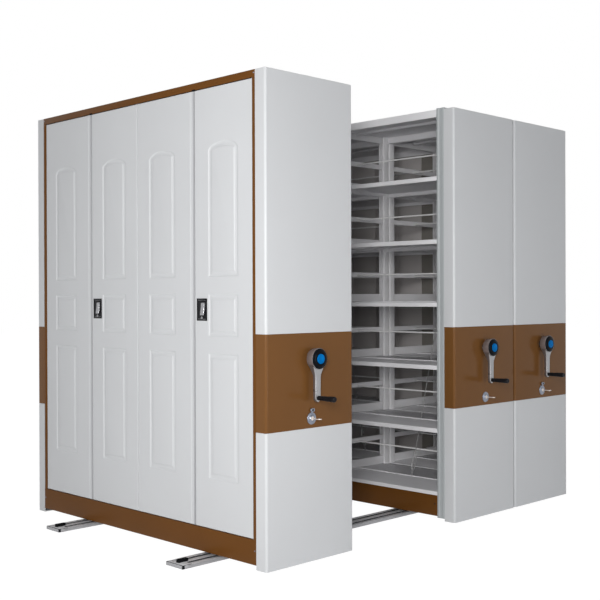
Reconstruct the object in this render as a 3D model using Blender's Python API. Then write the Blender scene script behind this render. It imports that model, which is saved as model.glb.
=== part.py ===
"""Compact mobile shelving: three double-faced carriages that roll on two floor rails.

Metres, +Z up. The carriages roll along X, and their cranks face -Y. The origin is on the floor,
at the middle of the whole set's length and depth. The left carriage has doors on its -X face,
the middle one is open on both faces, and the right one has a closed back on its +X face.
"""

import math

import bmesh
import bpy
from mathutils import Matrix, Vector

# Gaps: between pieces that rest on each other, and around pieces that turn or slide.
SEAT_GAP = 0.0003
TURN_GAP = 0.0005
# How far a joined piece runs into its neighbour, and a cutter past the face that it opens.
BITE = 0.001
OVERRUN = 0.010

# The set: three carriages on the rails, with one aisle between the left and the middle one.
CARRIAGE_WIDTH = 0.585
CARRIAGE_LENGTH = 1.970
AISLE = 0.836
CARRIAGE_GAP = 0.012
RAIL_OVERHANG = 0.180

# Rails, cut from a wide flat channel with a centre bar that the wheels run on.
RAIL_SPACING = 1.075
RAIL_WIDTH = 0.130
RAIL_HEIGHT = 0.018
RAIL_FLOOR = 0.005
RAIL_FLANGE = 0.026
RAIL_BAR = 0.036
END_CAP_LENGTH = 0.058
STOP_START = 0.020
STOP_LENGTH = 0.058
STOP_WIDTH = 0.022
STOP_HEIGHT = 0.015

# End panels: folded trays with rounded upright corners and a shallow recess for a band.
PANEL_DEPTH = 0.069
PANEL_BOTTOM = 0.022
PANEL_CORNER = 0.012
PANEL_WALL = 0.004
CORNER_STEPS = 3
BAND_BOTTOM = 0.654
BAND_TOP = 1.105
BAND_SHEET = 0.0015

# Wheelsets: an axle that carries two wheels. The drive axle also has a chain wheel.
WHEEL_RADIUS = 0.055
WHEEL_WIDTH = 0.030
WHEEL_INSET = 0.090
AXLE_RADIUS = 0.0125
AXLE_CHAIN_RADIUS = 0.030
AXLE_TEETH = 12
ROUND_STEPS = 16
SMALL_STEPS = 10
PIN_STEPS = 6

# Crank: a cast head and arm on a shaft, with a black cap, a centre button and a loose grip.
CRANK_DROP = 0.121
HEAD_RADIUS = 0.051
HEAD_ROOT_SHARE = 0.96
HEAD_STANDOFF = 0.020
HEAD_DEPTH = 0.036
CAP_RADIUS = 0.049
CAP_DEPTH = 0.009
CAP_LIP = 0.006
BUTTON_RADIUS = 0.025
BUTTON_PROUD = 0.003
BUTTON_LENGTH = 0.010
BUTTON_TRAVEL = 0.0025
BUTTON_ROOM = 0.001
ARM_LENGTH = 0.185
ARM_WIDTH = 0.036
ARM_TIP_WIDTH = 0.026
ARM_DEPTH = 0.018
GRIP_LENGTH = 0.108
GRIP_ROOT_RADIUS = 0.011
GRIP_TIP_RADIUS = 0.0135
GRIP_PIN_RADIUS = 0.005
GRIP_END = 0.006
GRIP_SWELL_SHARE = 0.75
SHAFT_RADIUS = 0.009
CRANK_CHAIN_RADIUS = 0.040
CRANK_TEETH = 16
TOOTH_DEPTH = 0.004
CHAIN_SETBACK = 0.026
CHAIN_WHEEL_WIDTH = 0.007
CHAIN_THICKNESS = 0.007
CRANK_BOSS_RADIUS = 0.024
INNER_BOSS_LENGTH = 0.012

# Lock: a fixed round rosette on the band and a plug that turns with its key.
LOCK_RISE = 0.046
ROSETTE_RADIUS = 0.029
ROSETTE_DEPTH = 0.010
PLUG_RADIUS = 0.010
PLUG_INNER_END = 0.014
BLADE_LENGTH = 0.024
BLADE_WIDTH = 0.009
KEY_SHEET = 0.0025
BOW_LENGTH = 0.030
BOW_WIDTH = 0.022
# Half of the bow's outline, as shares of its length and width.
BOW_SHARES = ((0, 0.25), (0.3, 0.5), (0.7, 0.5), (1, 0.2))

# Base frame: folded kick plates joined by cross members that carry the axles.
KICK_BOTTOM = 0.042
KICK_TOP = 0.158
KICK_SHEET = 0.004
KICK_FLANGE = 0.026
KICK_SETBACK = 0.002
CROSS_SHEET = 0.006
CROSS_FROM_WHEEL = 0.022
END_CROSS_HEIGHT = 0.060

# Upright frame: three ladders of folded channel, a top, a bottom deck, rods and ties.
UPRIGHT_BOTTOM = 0.035
UPRIGHT_RISE = 0.008
UPRIGHT_DEPTH = 0.047
END_UPRIGHT_WIDTH = 0.052
CENTRE_UPRIGHT_WIDTH = 0.045
UPRIGHT_SHEET = 0.0025
DECK_RISE = 0.022
DECK_SHEET = 0.003
TOP_LIP = 0.042
TOP_PITCH = 0.372
TOP_RISE = 0.002
HANGER_HEIGHT = 0.050
HANGER_SHEET = 0.003
RUNG_HEIGHT = 0.030
RUNG_RISE = 0.174
ROD_RADIUS = 0.004
ROD_RISE = 0.170
ROD_OFFSET = 0.008
TIE_RADIUS = 0.0022
TURNBUCKLE_RADIUS = 0.007
TURNBUCKLE_LENGTH = 0.110
TURNBUCKLE_START = 0.040
ROD_STEPS = 6

# Shelves: five levels above the deck. Each level is four panels, tied below their top face.
SHELF_LEVELS = 5
SHELF_PITCH = 0.354
SHELF_SHEET = 0.002
SHELF_LIP = 0.025
SHELF_UPTURN = 0.004
SHELF_SEAM = 0.006
SHELF_SETBACK = 0.002
STRAP_SHEET = 0.005
STRAP_WIDTH = 0.070
STRAP_REACH = 0.050

# Doors of the left carriage, in a surround that belongs to its base frame.
SURROUND_DEPTH = 0.024
SURROUND_SIDE = 0.020
SURROUND_TOP = 0.038
SURROUND_SILL = 0.012
BRACKET_SHEET = 0.008
DOOR_ROOM = 0.002
DOOR_GAP = 0.003
MIDDLE_GAP = 0.004
MEETING_GAP = 0.008
MEETING_STRIP = 0.047
DOOR_SETBACK = 0.004
DOOR_DEPTH = 0.016
DOOR_SHEET = 0.002
HINGE_INSET = 0.004
HINGE_PIN_RADIUS = 0.003
HINGE_PIN_LENGTH = 0.008
HINGE_PIN_ROOT = 0.010
RELIEF_WIDTH = 0.215
RELIEF_HEIGHT = 0.004
# Where each raised field begins and ends, as shares of the door's height.
LOWER_RELIEF_SHARES = (0.113, 0.393)
MIDDLE_RELIEF_SHARES = (0.427, 0.533)
UPPER_RELIEF_SHARES = (0.571, 0.856)
ARCH_RISE = 0.042
ARCH_STEPS = 6
HANDLE_CENTRE = 1.215
HANDLE_HEIGHT = 0.108
HANDLE_WIDTH = 0.075
HANDLE_EDGE = 0.016
HANDLE_PROUD = 0.003
HANDLE_RIM = 0.008
PADDLE_SHEET = 0.004
PADDLE_GAP = 0.0008
PADDLE_HINGE_INSET = 0.003

# Closed back of the right carriage: four flat boards, each with a stiffener down its middle.
BACK_DEPTH = 0.0217
BACK_SHEET = 0.002
BACK_DROP = 0.002
BACK_RIB = 0.014
BACK_BOARDS = 4

# Finishes: colour, metallic, roughness.
WHITE_COAT = ((0.57, 0.59, 0.60, 1.0), 0.0, 0.45)
BROWN_COAT = ((0.16, 0.075, 0.03, 1.0), 0.0, 0.35)
ZINC = ((0.42, 0.43, 0.44, 1.0), 0.9, 0.45)
CHROME = ((0.75, 0.75, 0.77, 1.0), 1.0, 0.15)
BLACK_PLASTIC = ((0.015, 0.015, 0.018, 1.0), 0.0, 0.45)
BLUE_PLASTIC = ((0.01, 0.19, 0.55, 1.0), 0.0, 0.35)
STEEL = ((0.35, 0.35, 0.36, 1.0), 0.9, 0.40)
# Edges that turn more than this, in degrees, stay sharp.
SHARP_ANGLE = 35

# Places worked out from the sizes above.
FRAME_START = PANEL_DEPTH + SEAT_GAP
FRAME_END = CARRIAGE_LENGTH - FRAME_START
MIDDLE = CARRIAGE_LENGTH / 2
DECK_TOP = KICK_TOP + DECK_RISE
TOP_TOP = DECK_TOP + SHELF_LEVELS * SHELF_PITCH + TOP_PITCH
PANEL_TOP = TOP_TOP - TOP_RISE
UPRIGHT_TOP = PANEL_TOP + UPRIGHT_RISE
BACK_TOP = PANEL_TOP - BACK_DROP
CRANK_HEIGHT = BAND_TOP - CRANK_DROP
LOCK_HEIGHT = BAND_BOTTOM + LOCK_RISE
AXLE_HEIGHT = RAIL_HEIGHT + SEAT_GAP + WHEEL_RADIUS
RAILS_AT = (MIDDLE - RAIL_SPACING / 2, MIDDLE + RAIL_SPACING / 2)
CRANK_REACH = HEAD_STANDOFF + HEAD_DEPTH / 2 + ARM_DEPTH / 2 + SEAT_GAP + GRIP_LENGTH
RAIL_LENGTH = 2 * RAIL_OVERHANG + 3 * CARRIAGE_WIDTH + AISLE + CARRIAGE_GAP
NEAR_FACE = (CRANK_REACH - CARRIAGE_LENGTH) / 2
LEFT_AT = -RAIL_LENGTH / 2 + RAIL_OVERHANG
MIDDLE_AT = LEFT_AT + CARRIAGE_WIDTH + AISLE
RIGHT_AT = MIDDLE_AT + CARRIAGE_WIDTH + CARRIAGE_GAP
DOOR_ZONE = SURROUND_DEPTH + DOOR_ROOM
BACK_ZONE = BACK_DEPTH + SEAT_GAP


def clear_scene():
    for thing in list(bpy.data.objects):
        bpy.data.objects.remove(thing, do_unlink=True)


def solid(corners, faces):
    """A temporary object that holds one closed body."""
    mesh = bpy.data.meshes.new("solid")
    mesh.from_pydata(corners, [], faces)
    shape = bmesh.new()
    shape.from_mesh(mesh)
    bmesh.ops.recalc_face_normals(shape, faces=shape.faces)
    shape.to_mesh(mesh)
    shape.free()
    thing = bpy.data.objects.new("solid", mesh)
    bpy.context.scene.collection.objects.link(thing)
    return thing


def stack(loops):
    """A closed solid through loops of equally many corners, capped at both ends."""
    count = len(loops[0])
    corners = [corner for loop in loops for corner in loop]
    faces = [list(range(count)), list(range(len(corners) - count, len(corners)))]
    for level in range(len(loops) - 1):
        base = level * count
        for i in range(count):
            j = (i + 1) % count
            faces.append((base + i, base + j, base + count + j, base + count + i))
    return solid(corners, faces)


def prism(outline, axis, start, end):
    """An outline swept along an axis. Its points are the other two coordinates, in order."""
    put = {
        "x": lambda point, level: (level, point[0], point[1]),
        "y": lambda point, level: (point[0], level, point[1]),
        "z": lambda point, level: (point[0], point[1], level),
    }[axis]
    return stack([[put(point, level) for point in outline] for level in (start, end)])


def box(x, y, z):
    return prism(((x[0], y[0]), (x[1], y[0]), (x[1], y[1]), (x[0], y[1])), "z", *z)


def circle(radius, steps, centre=(0, 0)):
    turns = [math.tau * i / steps for i in range(steps)]
    return [(centre[0] + radius * math.cos(t), centre[1] + radius * math.sin(t)) for t in turns]


def clear_radius(radius, steps, gap=TURN_GAP):
    """The corner radius of a faceted hole whose flats stay one gap off a turning radius."""
    return (radius + gap) / math.cos(math.pi / steps)


def turned(profile, steps, centre=(0, 0)):
    """A solid turned about a Y axis through centre, from (radius, y) points in order."""
    loops = []
    for radius, y in profile:
        loops.append([(x, y, z) for x, z in circle(radius, steps, centre)])
    return stack(loops)


def toothed(radius, teeth, start, end):
    """A chain wheel about the Y axis: radius is at the tips of its teeth."""
    outline = []
    for i in range(2 * teeth):
        reach = radius - TOOTH_DEPTH * (i % 2)
        turn = math.pi * i / teeth
        outline.append((reach * math.cos(turn), reach * math.sin(turn)))
    return prism(outline, "y", start, end)


def rod(start, end, radius, steps=ROD_STEPS):
    """A straight round bar between two points."""
    start, end = Vector(start), Vector(end)
    along = (end - start).normalized()
    across = along.orthogonal().normalized()
    other = along.cross(across)
    loops = []
    for middle in (start, end):
        loops.append([tuple(middle + a * across + b * other) for a, b in circle(radius, steps)])
    return stack(loops)


def combine(solids, cuts=()):
    """One mesh: the union of the solids, less the cuts. The temporary objects are removed."""
    base, *others = solids
    groups = []
    for operation, tools in (("UNION", others), ("DIFFERENCE", list(cuts))):
        if not tools:
            continue
        group = bpy.data.collections.new(operation)
        bpy.context.scene.collection.children.link(group)
        groups.append(group)
        for tool in tools:
            group.objects.link(tool)
        change = base.modifiers.new(operation, "BOOLEAN")
        change.operation = operation
        change.operand_type = "COLLECTION"
        change.collection = group
    scene_now = bpy.context.evaluated_depsgraph_get()
    mesh = bpy.data.meshes.new_from_object(base.evaluated_get(scene_now))
    for thing in [*solids, *cuts]:
        bpy.data.objects.remove(thing, do_unlink=True)
    for group in groups:
        bpy.data.collections.remove(group)
    return mesh


def finished(mesh, name, finish):
    """Names a mesh, gives it its material and shades its round faces smooth."""
    colour, metallic, roughness = finish
    surface = bpy.data.materials.new(f"{name} finish")
    surface.use_nodes = True
    surface.diffuse_color = colour
    shader = surface.node_tree.nodes["Principled BSDF"]
    shader.inputs["Base Color"].default_value = colour
    shader.inputs["Metallic"].default_value = metallic
    shader.inputs["Roughness"].default_value = roughness
    mesh.name = name
    mesh.materials.clear()
    mesh.materials.append(surface)
    mesh.shade_smooth()
    mesh.set_sharp_from_angle(angle=math.radians(SHARP_ANGLE))
    return mesh


def place(name, mesh, parent=None, at=(0, 0, 0)):
    thing = bpy.data.objects.new(name, mesh)
    thing.location = at
    thing.parent = parent
    bpy.context.scene.collection.objects.link(thing)
    return thing


def rail_mesh():
    """A rail about its own middle, with an end cap and a rubber stop at each end."""
    half = RAIL_WIDTH / 2
    groove = half - RAIL_FLANGE
    bar = RAIL_BAR / 2
    outline = (
        (-half, 0), (half, 0), (half, RAIL_HEIGHT), (groove, RAIL_HEIGHT), (groove, RAIL_FLOOR),
        (bar, RAIL_FLOOR), (bar, RAIL_HEIGHT), (-bar, RAIL_HEIGHT), (-bar, RAIL_FLOOR),
        (-groove, RAIL_FLOOR), (-groove, RAIL_HEIGHT), (-half, RAIL_HEIGHT),
    )
    inner = RAIL_LENGTH / 2 - END_CAP_LENGTH
    solids = [prism(outline, "x", -inner - BITE, inner + BITE)]
    for side in (-1, 1):
        cap = sorted((side * inner, side * RAIL_LENGTH / 2))
        stop_end = RAIL_LENGTH / 2 - STOP_START
        stop = sorted((side * stop_end, side * (stop_end - STOP_LENGTH)))
        solids.append(box(cap, (-half, half), (0, RAIL_HEIGHT)))
        solids.append(
            box(stop, (-STOP_WIDTH / 2, STOP_WIDTH / 2), (RAIL_HEIGHT - BITE, RAIL_HEIGHT + STOP_HEIGHT))
        )
    return combine(solids)


def panel_outline(inset, back):
    """A panel's plan, drawn in by inset: rounded corners at y = inset, square ones at back."""
    radius = PANEL_CORNER - inset
    points = [(CARRIAGE_WIDTH - inset, back), (inset, back)]
    for centre_x, start in ((PANEL_CORNER, math.pi), (CARRIAGE_WIDTH - PANEL_CORNER, 1.5 * math.pi)):
        for i in range(CORNER_STEPS + 1):
            turn = start + math.pi / 2 * i / CORNER_STEPS
            points.append((centre_x + radius * math.cos(turn), PANEL_CORNER + radius * math.sin(turn)))
    return points


def band_outline(outer_inset, inner_inset, back):
    """The plan of a layer that runs round a panel's sides and face, between two insets."""
    outer = panel_outline(outer_inset, back)
    inner = panel_outline(inner_inset, back)
    return [*outer[1:], outer[0], inner[0], *reversed(inner[1:])]


def tray_mesh():
    """The tray of an end panel, open to the shelves, with a shallow recess for a band."""
    open_end = PANEL_DEPTH + OVERRUN
    tray = prism(panel_outline(0, PANEL_DEPTH), "z", PANEL_BOTTOM, PANEL_TOP)
    inside = prism(
        panel_outline(PANEL_WALL, open_end), "z", PANEL_BOTTOM + PANEL_WALL, PANEL_TOP - PANEL_WALL
    )
    recess = prism(
        band_outline(-OVERRUN, BAND_SHEET + SEAT_GAP, open_end), "z", BAND_BOTTOM, BAND_TOP
    )
    return combine([tray], [inside, recess])


def near_panel_mesh():
    """The operating end: a tray with a boss behind the crank and bores for its shaft and the lock."""
    shell = bpy.data.objects.new("shell", tray_mesh())
    bpy.context.scene.collection.objects.link(shell)
    boss = turned(
        ((CRANK_BOSS_RADIUS, PANEL_WALL - BITE), (CRANK_BOSS_RADIUS, PANEL_WALL + INNER_BOSS_LENGTH)),
        SMALL_STEPS, (CARRIAGE_WIDTH / 2, CRANK_HEIGHT),
    )
    return combine([shell, boss], panel_bores(PANEL_WALL + INNER_BOSS_LENGTH + OVERRUN))


def panel_bores(end):
    """Cutters for the crank's shaft and the lock's plug, from in front of the bosses to end."""
    start = -HEAD_STANDOFF - OVERRUN
    bores = []
    for radius, x, z in (
        (SHAFT_RADIUS, CARRIAGE_WIDTH / 2, CRANK_HEIGHT),
        (PLUG_RADIUS, CARRIAGE_WIDTH / 2, LOCK_HEIGHT),
    ):
        reach = clear_radius(radius, SMALL_STEPS)
        bores.append(turned(((reach, start), (reach, end)), SMALL_STEPS, (x, z)))
    return bores


def band_mesh():
    """The coloured band: a folded sheet round the panel's face and sides, with two bosses."""
    strip = band_outline(0, BAND_SHEET, PANEL_DEPTH)
    low, high = BAND_BOTTOM + SEAT_GAP, BAND_TOP - SEAT_GAP
    boss_front = TURN_GAP - HEAD_STANDOFF
    middle = CARRIAGE_WIDTH / 2
    bearing = ((CRANK_BOSS_RADIUS, boss_front), (CRANK_BOSS_RADIUS, BAND_SHEET - BITE / 2))
    rosette = ((ROSETTE_RADIUS, -ROSETTE_DEPTH), (ROSETTE_RADIUS, BAND_SHEET - BITE / 2))
    solids = [
        prism(strip, "z", low, high),
        turned(bearing, ROUND_STEPS, (middle, CRANK_HEIGHT)),
        turned(rosette, ROUND_STEPS, (middle, LOCK_HEIGHT)),
    ]
    return combine(solids, panel_bores(PANEL_WALL))


def far_panel_mesh():
    """The plain end: a tray turned half a turn, so that it opens towards -Y."""
    tray = tray_mesh()
    half_turn = Matrix.Rotation(math.pi, 4, "Z")
    tray.transform(Matrix.Translation((CARRIAGE_WIDTH, CARRIAGE_LENGTH, 0)) @ half_turn)
    return tray


def belt_outline(low, low_radius, high, high_radius):
    """The outline of a belt round two wheels, as points about the two centres."""
    low, high = Vector(low), Vector(high)
    along = high - low
    heading = math.atan2(along.y, along.x)
    lean = math.acos((low_radius - high_radius) / along.length)
    points = []
    for centre, radius, start, sweep in (
        (high, high_radius, heading - lean, 2 * lean),
        (low, low_radius, heading + lean, math.tau - 2 * lean),
    ):
        for i in range(SMALL_STEPS + 1):
            turn = start + sweep * i / SMALL_STEPS
            points.append((centre.x + radius * math.cos(turn), centre.y + radius * math.sin(turn)))
    return points


def chain_mesh():
    """The drive chain as a closed band round the crank's wheel and the axle's."""
    low, high = (WHEEL_INSET, AXLE_HEIGHT), (CARRIAGE_WIDTH / 2, CRANK_HEIGHT)
    start, end = CHAIN_SETBACK, CHAIN_SETBACK + CHAIN_WHEEL_WIDTH
    radii = (AXLE_CHAIN_RADIUS, CRANK_CHAIN_RADIUS)
    gap = [clear_radius(radius, 2 * SMALL_STEPS) - radius for radius in radii]
    loops = []
    for y, reach in ((start, 0), (start, CHAIN_THICKNESS), (end, CHAIN_THICKNESS), (end, 0)):
        outline = belt_outline(low, radii[0] + gap[0] + reach, high, radii[1] + gap[1] + reach)
        loops.append([(x, y, z) for x, z in outline])
    count = len(loops[0])
    corners = [corner for loop in loops for corner in loop]
    faces = []
    for level in range(4):
        following = (level + 1) % 4
        for i in range(count):
            j = (i + 1) % count
            faces.append((
                level * count + i, level * count + j,
                following * count + j, following * count + i,
            ))
    return combine([solid(corners, faces)])


def crank_mesh():
    """Head, arm, shaft, chain wheel and grip pin, about the crank's axis at the panel's face."""
    back = -HEAD_STANDOFF
    front = back - HEAD_DEPTH
    face = front - CAP_DEPTH
    arm_middle = (back + front) / 2
    arm = (arm_middle - ARM_DEPTH / 2, arm_middle + ARM_DEPTH / 2)
    tip = ARM_TIP_WIDTH / 2
    arm_outline = [(-ARM_WIDTH / 2, 0), (ARM_WIDTH / 2, 0)]
    for i in range(SMALL_STEPS // 2 + 1):
        turn = -math.pi * i / (SMALL_STEPS // 2)
        arm_outline.append((tip * math.cos(turn), -ARM_LENGTH + tip * math.sin(turn)))
    wheel_end = CHAIN_SETBACK + CHAIN_WHEEL_WIDTH
    head = (
        (HEAD_RADIUS * HEAD_ROOT_SHARE, back), (HEAD_RADIUS, (back + front) / 2), (HEAD_RADIUS, front),
        (CAP_RADIUS, front), (BUTTON_RADIUS + CAP_LIP, face),
    )
    pin_end = arm[0] - SEAT_GAP - GRIP_LENGTH + GRIP_END
    solids = [
        turned(head, ROUND_STEPS),
        prism(arm_outline, "y", *arm),
        turned(((SHAFT_RADIUS, wheel_end), (SHAFT_RADIUS, back - BITE)), SMALL_STEPS),
        toothed(CRANK_CHAIN_RADIUS, CRANK_TEETH, CHAIN_SETBACK, wheel_end - BITE),
        turned(((GRIP_PIN_RADIUS, arm[0] + BITE), (GRIP_PIN_RADIUS, pin_end)),
               SMALL_STEPS, (0, -ARM_LENGTH)),
    ]
    pocket = clear_radius(BUTTON_RADIUS, ROUND_STEPS)
    pocket_end = face - BUTTON_PROUD + BUTTON_LENGTH + BUTTON_TRAVEL + BUTTON_ROOM
    cut = turned(((pocket, face - OVERRUN), (pocket, pocket_end)), ROUND_STEPS)
    return combine(solids, [cut])


def button_mesh():
    """The centre button, about its own inner face."""
    crown = BUTTON_PROUD / 2
    profile = (
        (BUTTON_RADIUS, 0), (BUTTON_RADIUS, crown - BUTTON_LENGTH),
        (BUTTON_RADIUS - crown, -BUTTON_LENGTH),
    )
    return combine([turned(profile, ROUND_STEPS)])


def grip_mesh():
    """The grip, about the middle of the end that meets the arm, with a bore for its pin."""
    profile = (
        (GRIP_ROOT_RADIUS, 0), (GRIP_TIP_RADIUS, -GRIP_LENGTH * GRIP_SWELL_SHARE),
        (GRIP_TIP_RADIUS, GRIP_END - GRIP_LENGTH), (GRIP_TIP_RADIUS - GRIP_END / 2, -GRIP_LENGTH),
    )
    bore = clear_radius(GRIP_PIN_RADIUS, SMALL_STEPS)
    cut = turned(((bore, OVERRUN), (bore, GRIP_END - GRIP_LENGTH - TURN_GAP)), SMALL_STEPS)
    return combine([turned(profile, ROUND_STEPS)], [cut])


def key_mesh():
    """The lock's plug with its key, about the plug's axis at the panel's face."""
    front = -ROSETTE_DEPTH
    bow = front - BLADE_LENGTH
    sheet = (-KEY_SHEET / 2, KEY_SHEET / 2)
    right = [(x * BOW_WIDTH, bow - y * BOW_LENGTH) for y, x in BOW_SHARES]
    left = [(-x, y) for x, y in reversed(right)]
    return combine([
        turned(((PLUG_RADIUS, PLUG_INNER_END), (PLUG_RADIUS, front)), SMALL_STEPS),
        box((-BLADE_WIDTH / 2, BLADE_WIDTH / 2), (bow - BITE, front + BITE), sheet),
        prism(right + left, "z", *sheet),
    ])


def wheelset_mesh(start, end, chain_wheel):
    """An axle with two wheels, about its own axis, in the carriage's Y."""
    profile = [(AXLE_RADIUS, start)]
    for rail in RAILS_AT:
        near, far = rail - WHEEL_WIDTH / 2, rail + WHEEL_WIDTH / 2
        profile += [(AXLE_RADIUS, near), (WHEEL_RADIUS, near), (WHEEL_RADIUS, far), (AXLE_RADIUS, far)]
    profile.append((AXLE_RADIUS, end))
    solids = [turned(profile, ROUND_STEPS)]
    if chain_wheel:
        wheel = (CHAIN_SETBACK, CHAIN_SETBACK + CHAIN_WHEEL_WIDTH - BITE)
        solids.append(toothed(AXLE_CHAIN_RADIUS, AXLE_TEETH, *wheel))
    return combine(solids)


def folded(width, height, sheet):
    """The section of a channel that opens downwards, from its lower outer corner."""
    return (
        (0, -height), (0, 0), (width, 0), (width, -height), (width - sheet, -height),
        (width - sheet, -sheet), (sheet, -sheet), (sheet, -height),
    )


def kick_plate(face, inwards, start, end):
    """A folded kick plate whose outer face is at x = face and whose flange points inwards."""
    outline = (
        (face, KICK_BOTTOM), (face + inwards * KICK_SHEET, KICK_BOTTOM),
        (face + inwards * KICK_SHEET, KICK_TOP - KICK_SHEET),
        (face + inwards * KICK_FLANGE, KICK_TOP - KICK_SHEET),
        (face + inwards * KICK_FLANGE, KICK_TOP), (face, KICK_TOP),
    )
    return prism(outline, "y", start, end)


def base_frame_mesh(front, back, surround):
    """Kick plates and cross members. front and back are how far the shelves stand in."""
    start = FRAME_START + END_UPRIGHT_WIDTH + SEAT_GAP
    end = CARRIAGE_LENGTH - start
    near_x = front + KICK_SETBACK
    far_x = CARRIAGE_WIDTH - back - KICK_SETBACK
    solids = [kick_plate(near_x, 1, start, end), kick_plate(far_x, -1, start, end)]
    span = (near_x + BITE, far_x - BITE)
    solids.append(box(span, (start, start + CROSS_SHEET), (KICK_TOP - END_CROSS_HEIGHT, KICK_TOP - BITE)))
    solids.append(box(span, (end - CROSS_SHEET, end), (KICK_TOP - END_CROSS_HEIGHT, KICK_TOP - BITE)))
    for rail in RAILS_AT:
        for side in (-1, 1):
            edge = rail + side * CROSS_FROM_WHEEL
            member = sorted((edge, edge + side * CROSS_SHEET))
            solids.append(box(span, member, (KICK_BOTTOM + BITE, KICK_TOP - BITE)))
    bore = clear_radius(AXLE_RADIUS, SMALL_STEPS)
    cuts = []
    for x in (WHEEL_INSET, CARRIAGE_WIDTH - WHEEL_INSET):
        cuts.append(
            turned(((bore, start + OVERRUN), (bore, end - OVERRUN)), SMALL_STEPS, (x, AXLE_HEIGHT))
        )
    if surround:
        ring, pin_holes = surround_solids(near_x)
        solids += ring
        cuts += pin_holes
    return combine(solids, cuts)


def door_edges():
    """The two upright edges of each door, from the near end, and the side its hinge is on.

    The doors close in pairs. The one hinged at its high edge has a strip at its meeting edge,
    which makes it wider.
    """
    low = FRAME_START + SURROUND_SIDE + DOOR_GAP
    high = CARRIAGE_LENGTH - low
    plain = (high - low - 2 * MEETING_GAP - MIDDLE_GAP - 2 * MEETING_STRIP) / 4
    doors = []
    at = low
    for hinge_low, gap in ((True, MEETING_GAP), (False, MIDDLE_GAP), (True, MEETING_GAP), (False, 0)):
        width = plain if hinge_low else plain + MEETING_STRIP
        doors.append((at, at + width, hinge_low))
        at += width + gap
    return doors


def door_heights():
    return (KICK_TOP + DOOR_GAP, PANEL_TOP - SURROUND_TOP - DOOR_GAP)


def hinge_axis(low, high, hinge_low):
    """Where a door's hinge is, in plan."""
    y = low + HINGE_INSET if hinge_low else high - HINGE_INSET
    return (DOOR_SETBACK + HINGE_INSET, y)


def surround_solids(kick_face):
    """The ring round the doors, joined to the kick plate behind it, and the hinge pins' holes."""
    depth = (0, SURROUND_DEPTH)
    side = SURROUND_SIDE
    top = (PANEL_TOP - SURROUND_TOP, PANEL_TOP)
    solids = [
        box((0, KICK_SHEET), (FRAME_START, FRAME_END), (KICK_BOTTOM, KICK_TOP - BITE)),
        box(depth, (FRAME_START, FRAME_END), (KICK_TOP - SURROUND_SILL, KICK_TOP)),
        box(depth, (FRAME_START, FRAME_END), top),
        box(depth, (FRAME_START, FRAME_START + side), (KICK_TOP - BITE, top[0] + BITE)),
        box(depth, (FRAME_END - side, FRAME_END), (KICK_TOP - BITE, top[0] + BITE)),
    ]
    for rail in RAILS_AT:
        solids.append(
            box((BITE, kick_face + BITE), (rail - RAIL_BAR, rail + RAIL_BAR),
                (KICK_TOP - BRACKET_SHEET, KICK_TOP - BITE))
        )
    reach = clear_radius(HINGE_PIN_RADIUS, PIN_STEPS)
    holes = []
    low, high = door_heights()
    for door in door_edges():
        outline = circle(reach, PIN_STEPS, hinge_axis(*door))
        deep = HINGE_PIN_LENGTH + TURN_GAP
        holes.append(prism(outline, "z", low - deep, low + BITE))
        holes.append(prism(outline, "z", high - BITE, high + deep))
    return solids, holes


def upright(x, inwards, y, width, foot):
    """A folded upright that opens inwards: its outer face is at x and its middle at y."""
    half = width / 2
    deep = x + inwards * UPRIGHT_DEPTH
    wall = x + inwards * UPRIGHT_SHEET
    outline = (
        (x, y - half), (deep, y - half), (deep, y - half + UPRIGHT_SHEET), (wall, y - half + UPRIGHT_SHEET),
        (wall, y + half - UPRIGHT_SHEET), (deep, y + half - UPRIGHT_SHEET), (deep, y + half), (x, y + half),
    )
    return prism(outline, "z", foot, UPRIGHT_TOP)


def shelf_tops():
    """The deck's top and each shelf's, from the bottom."""
    return [DECK_TOP + level * SHELF_PITCH for level in range(SHELF_LEVELS + 1)]


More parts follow.
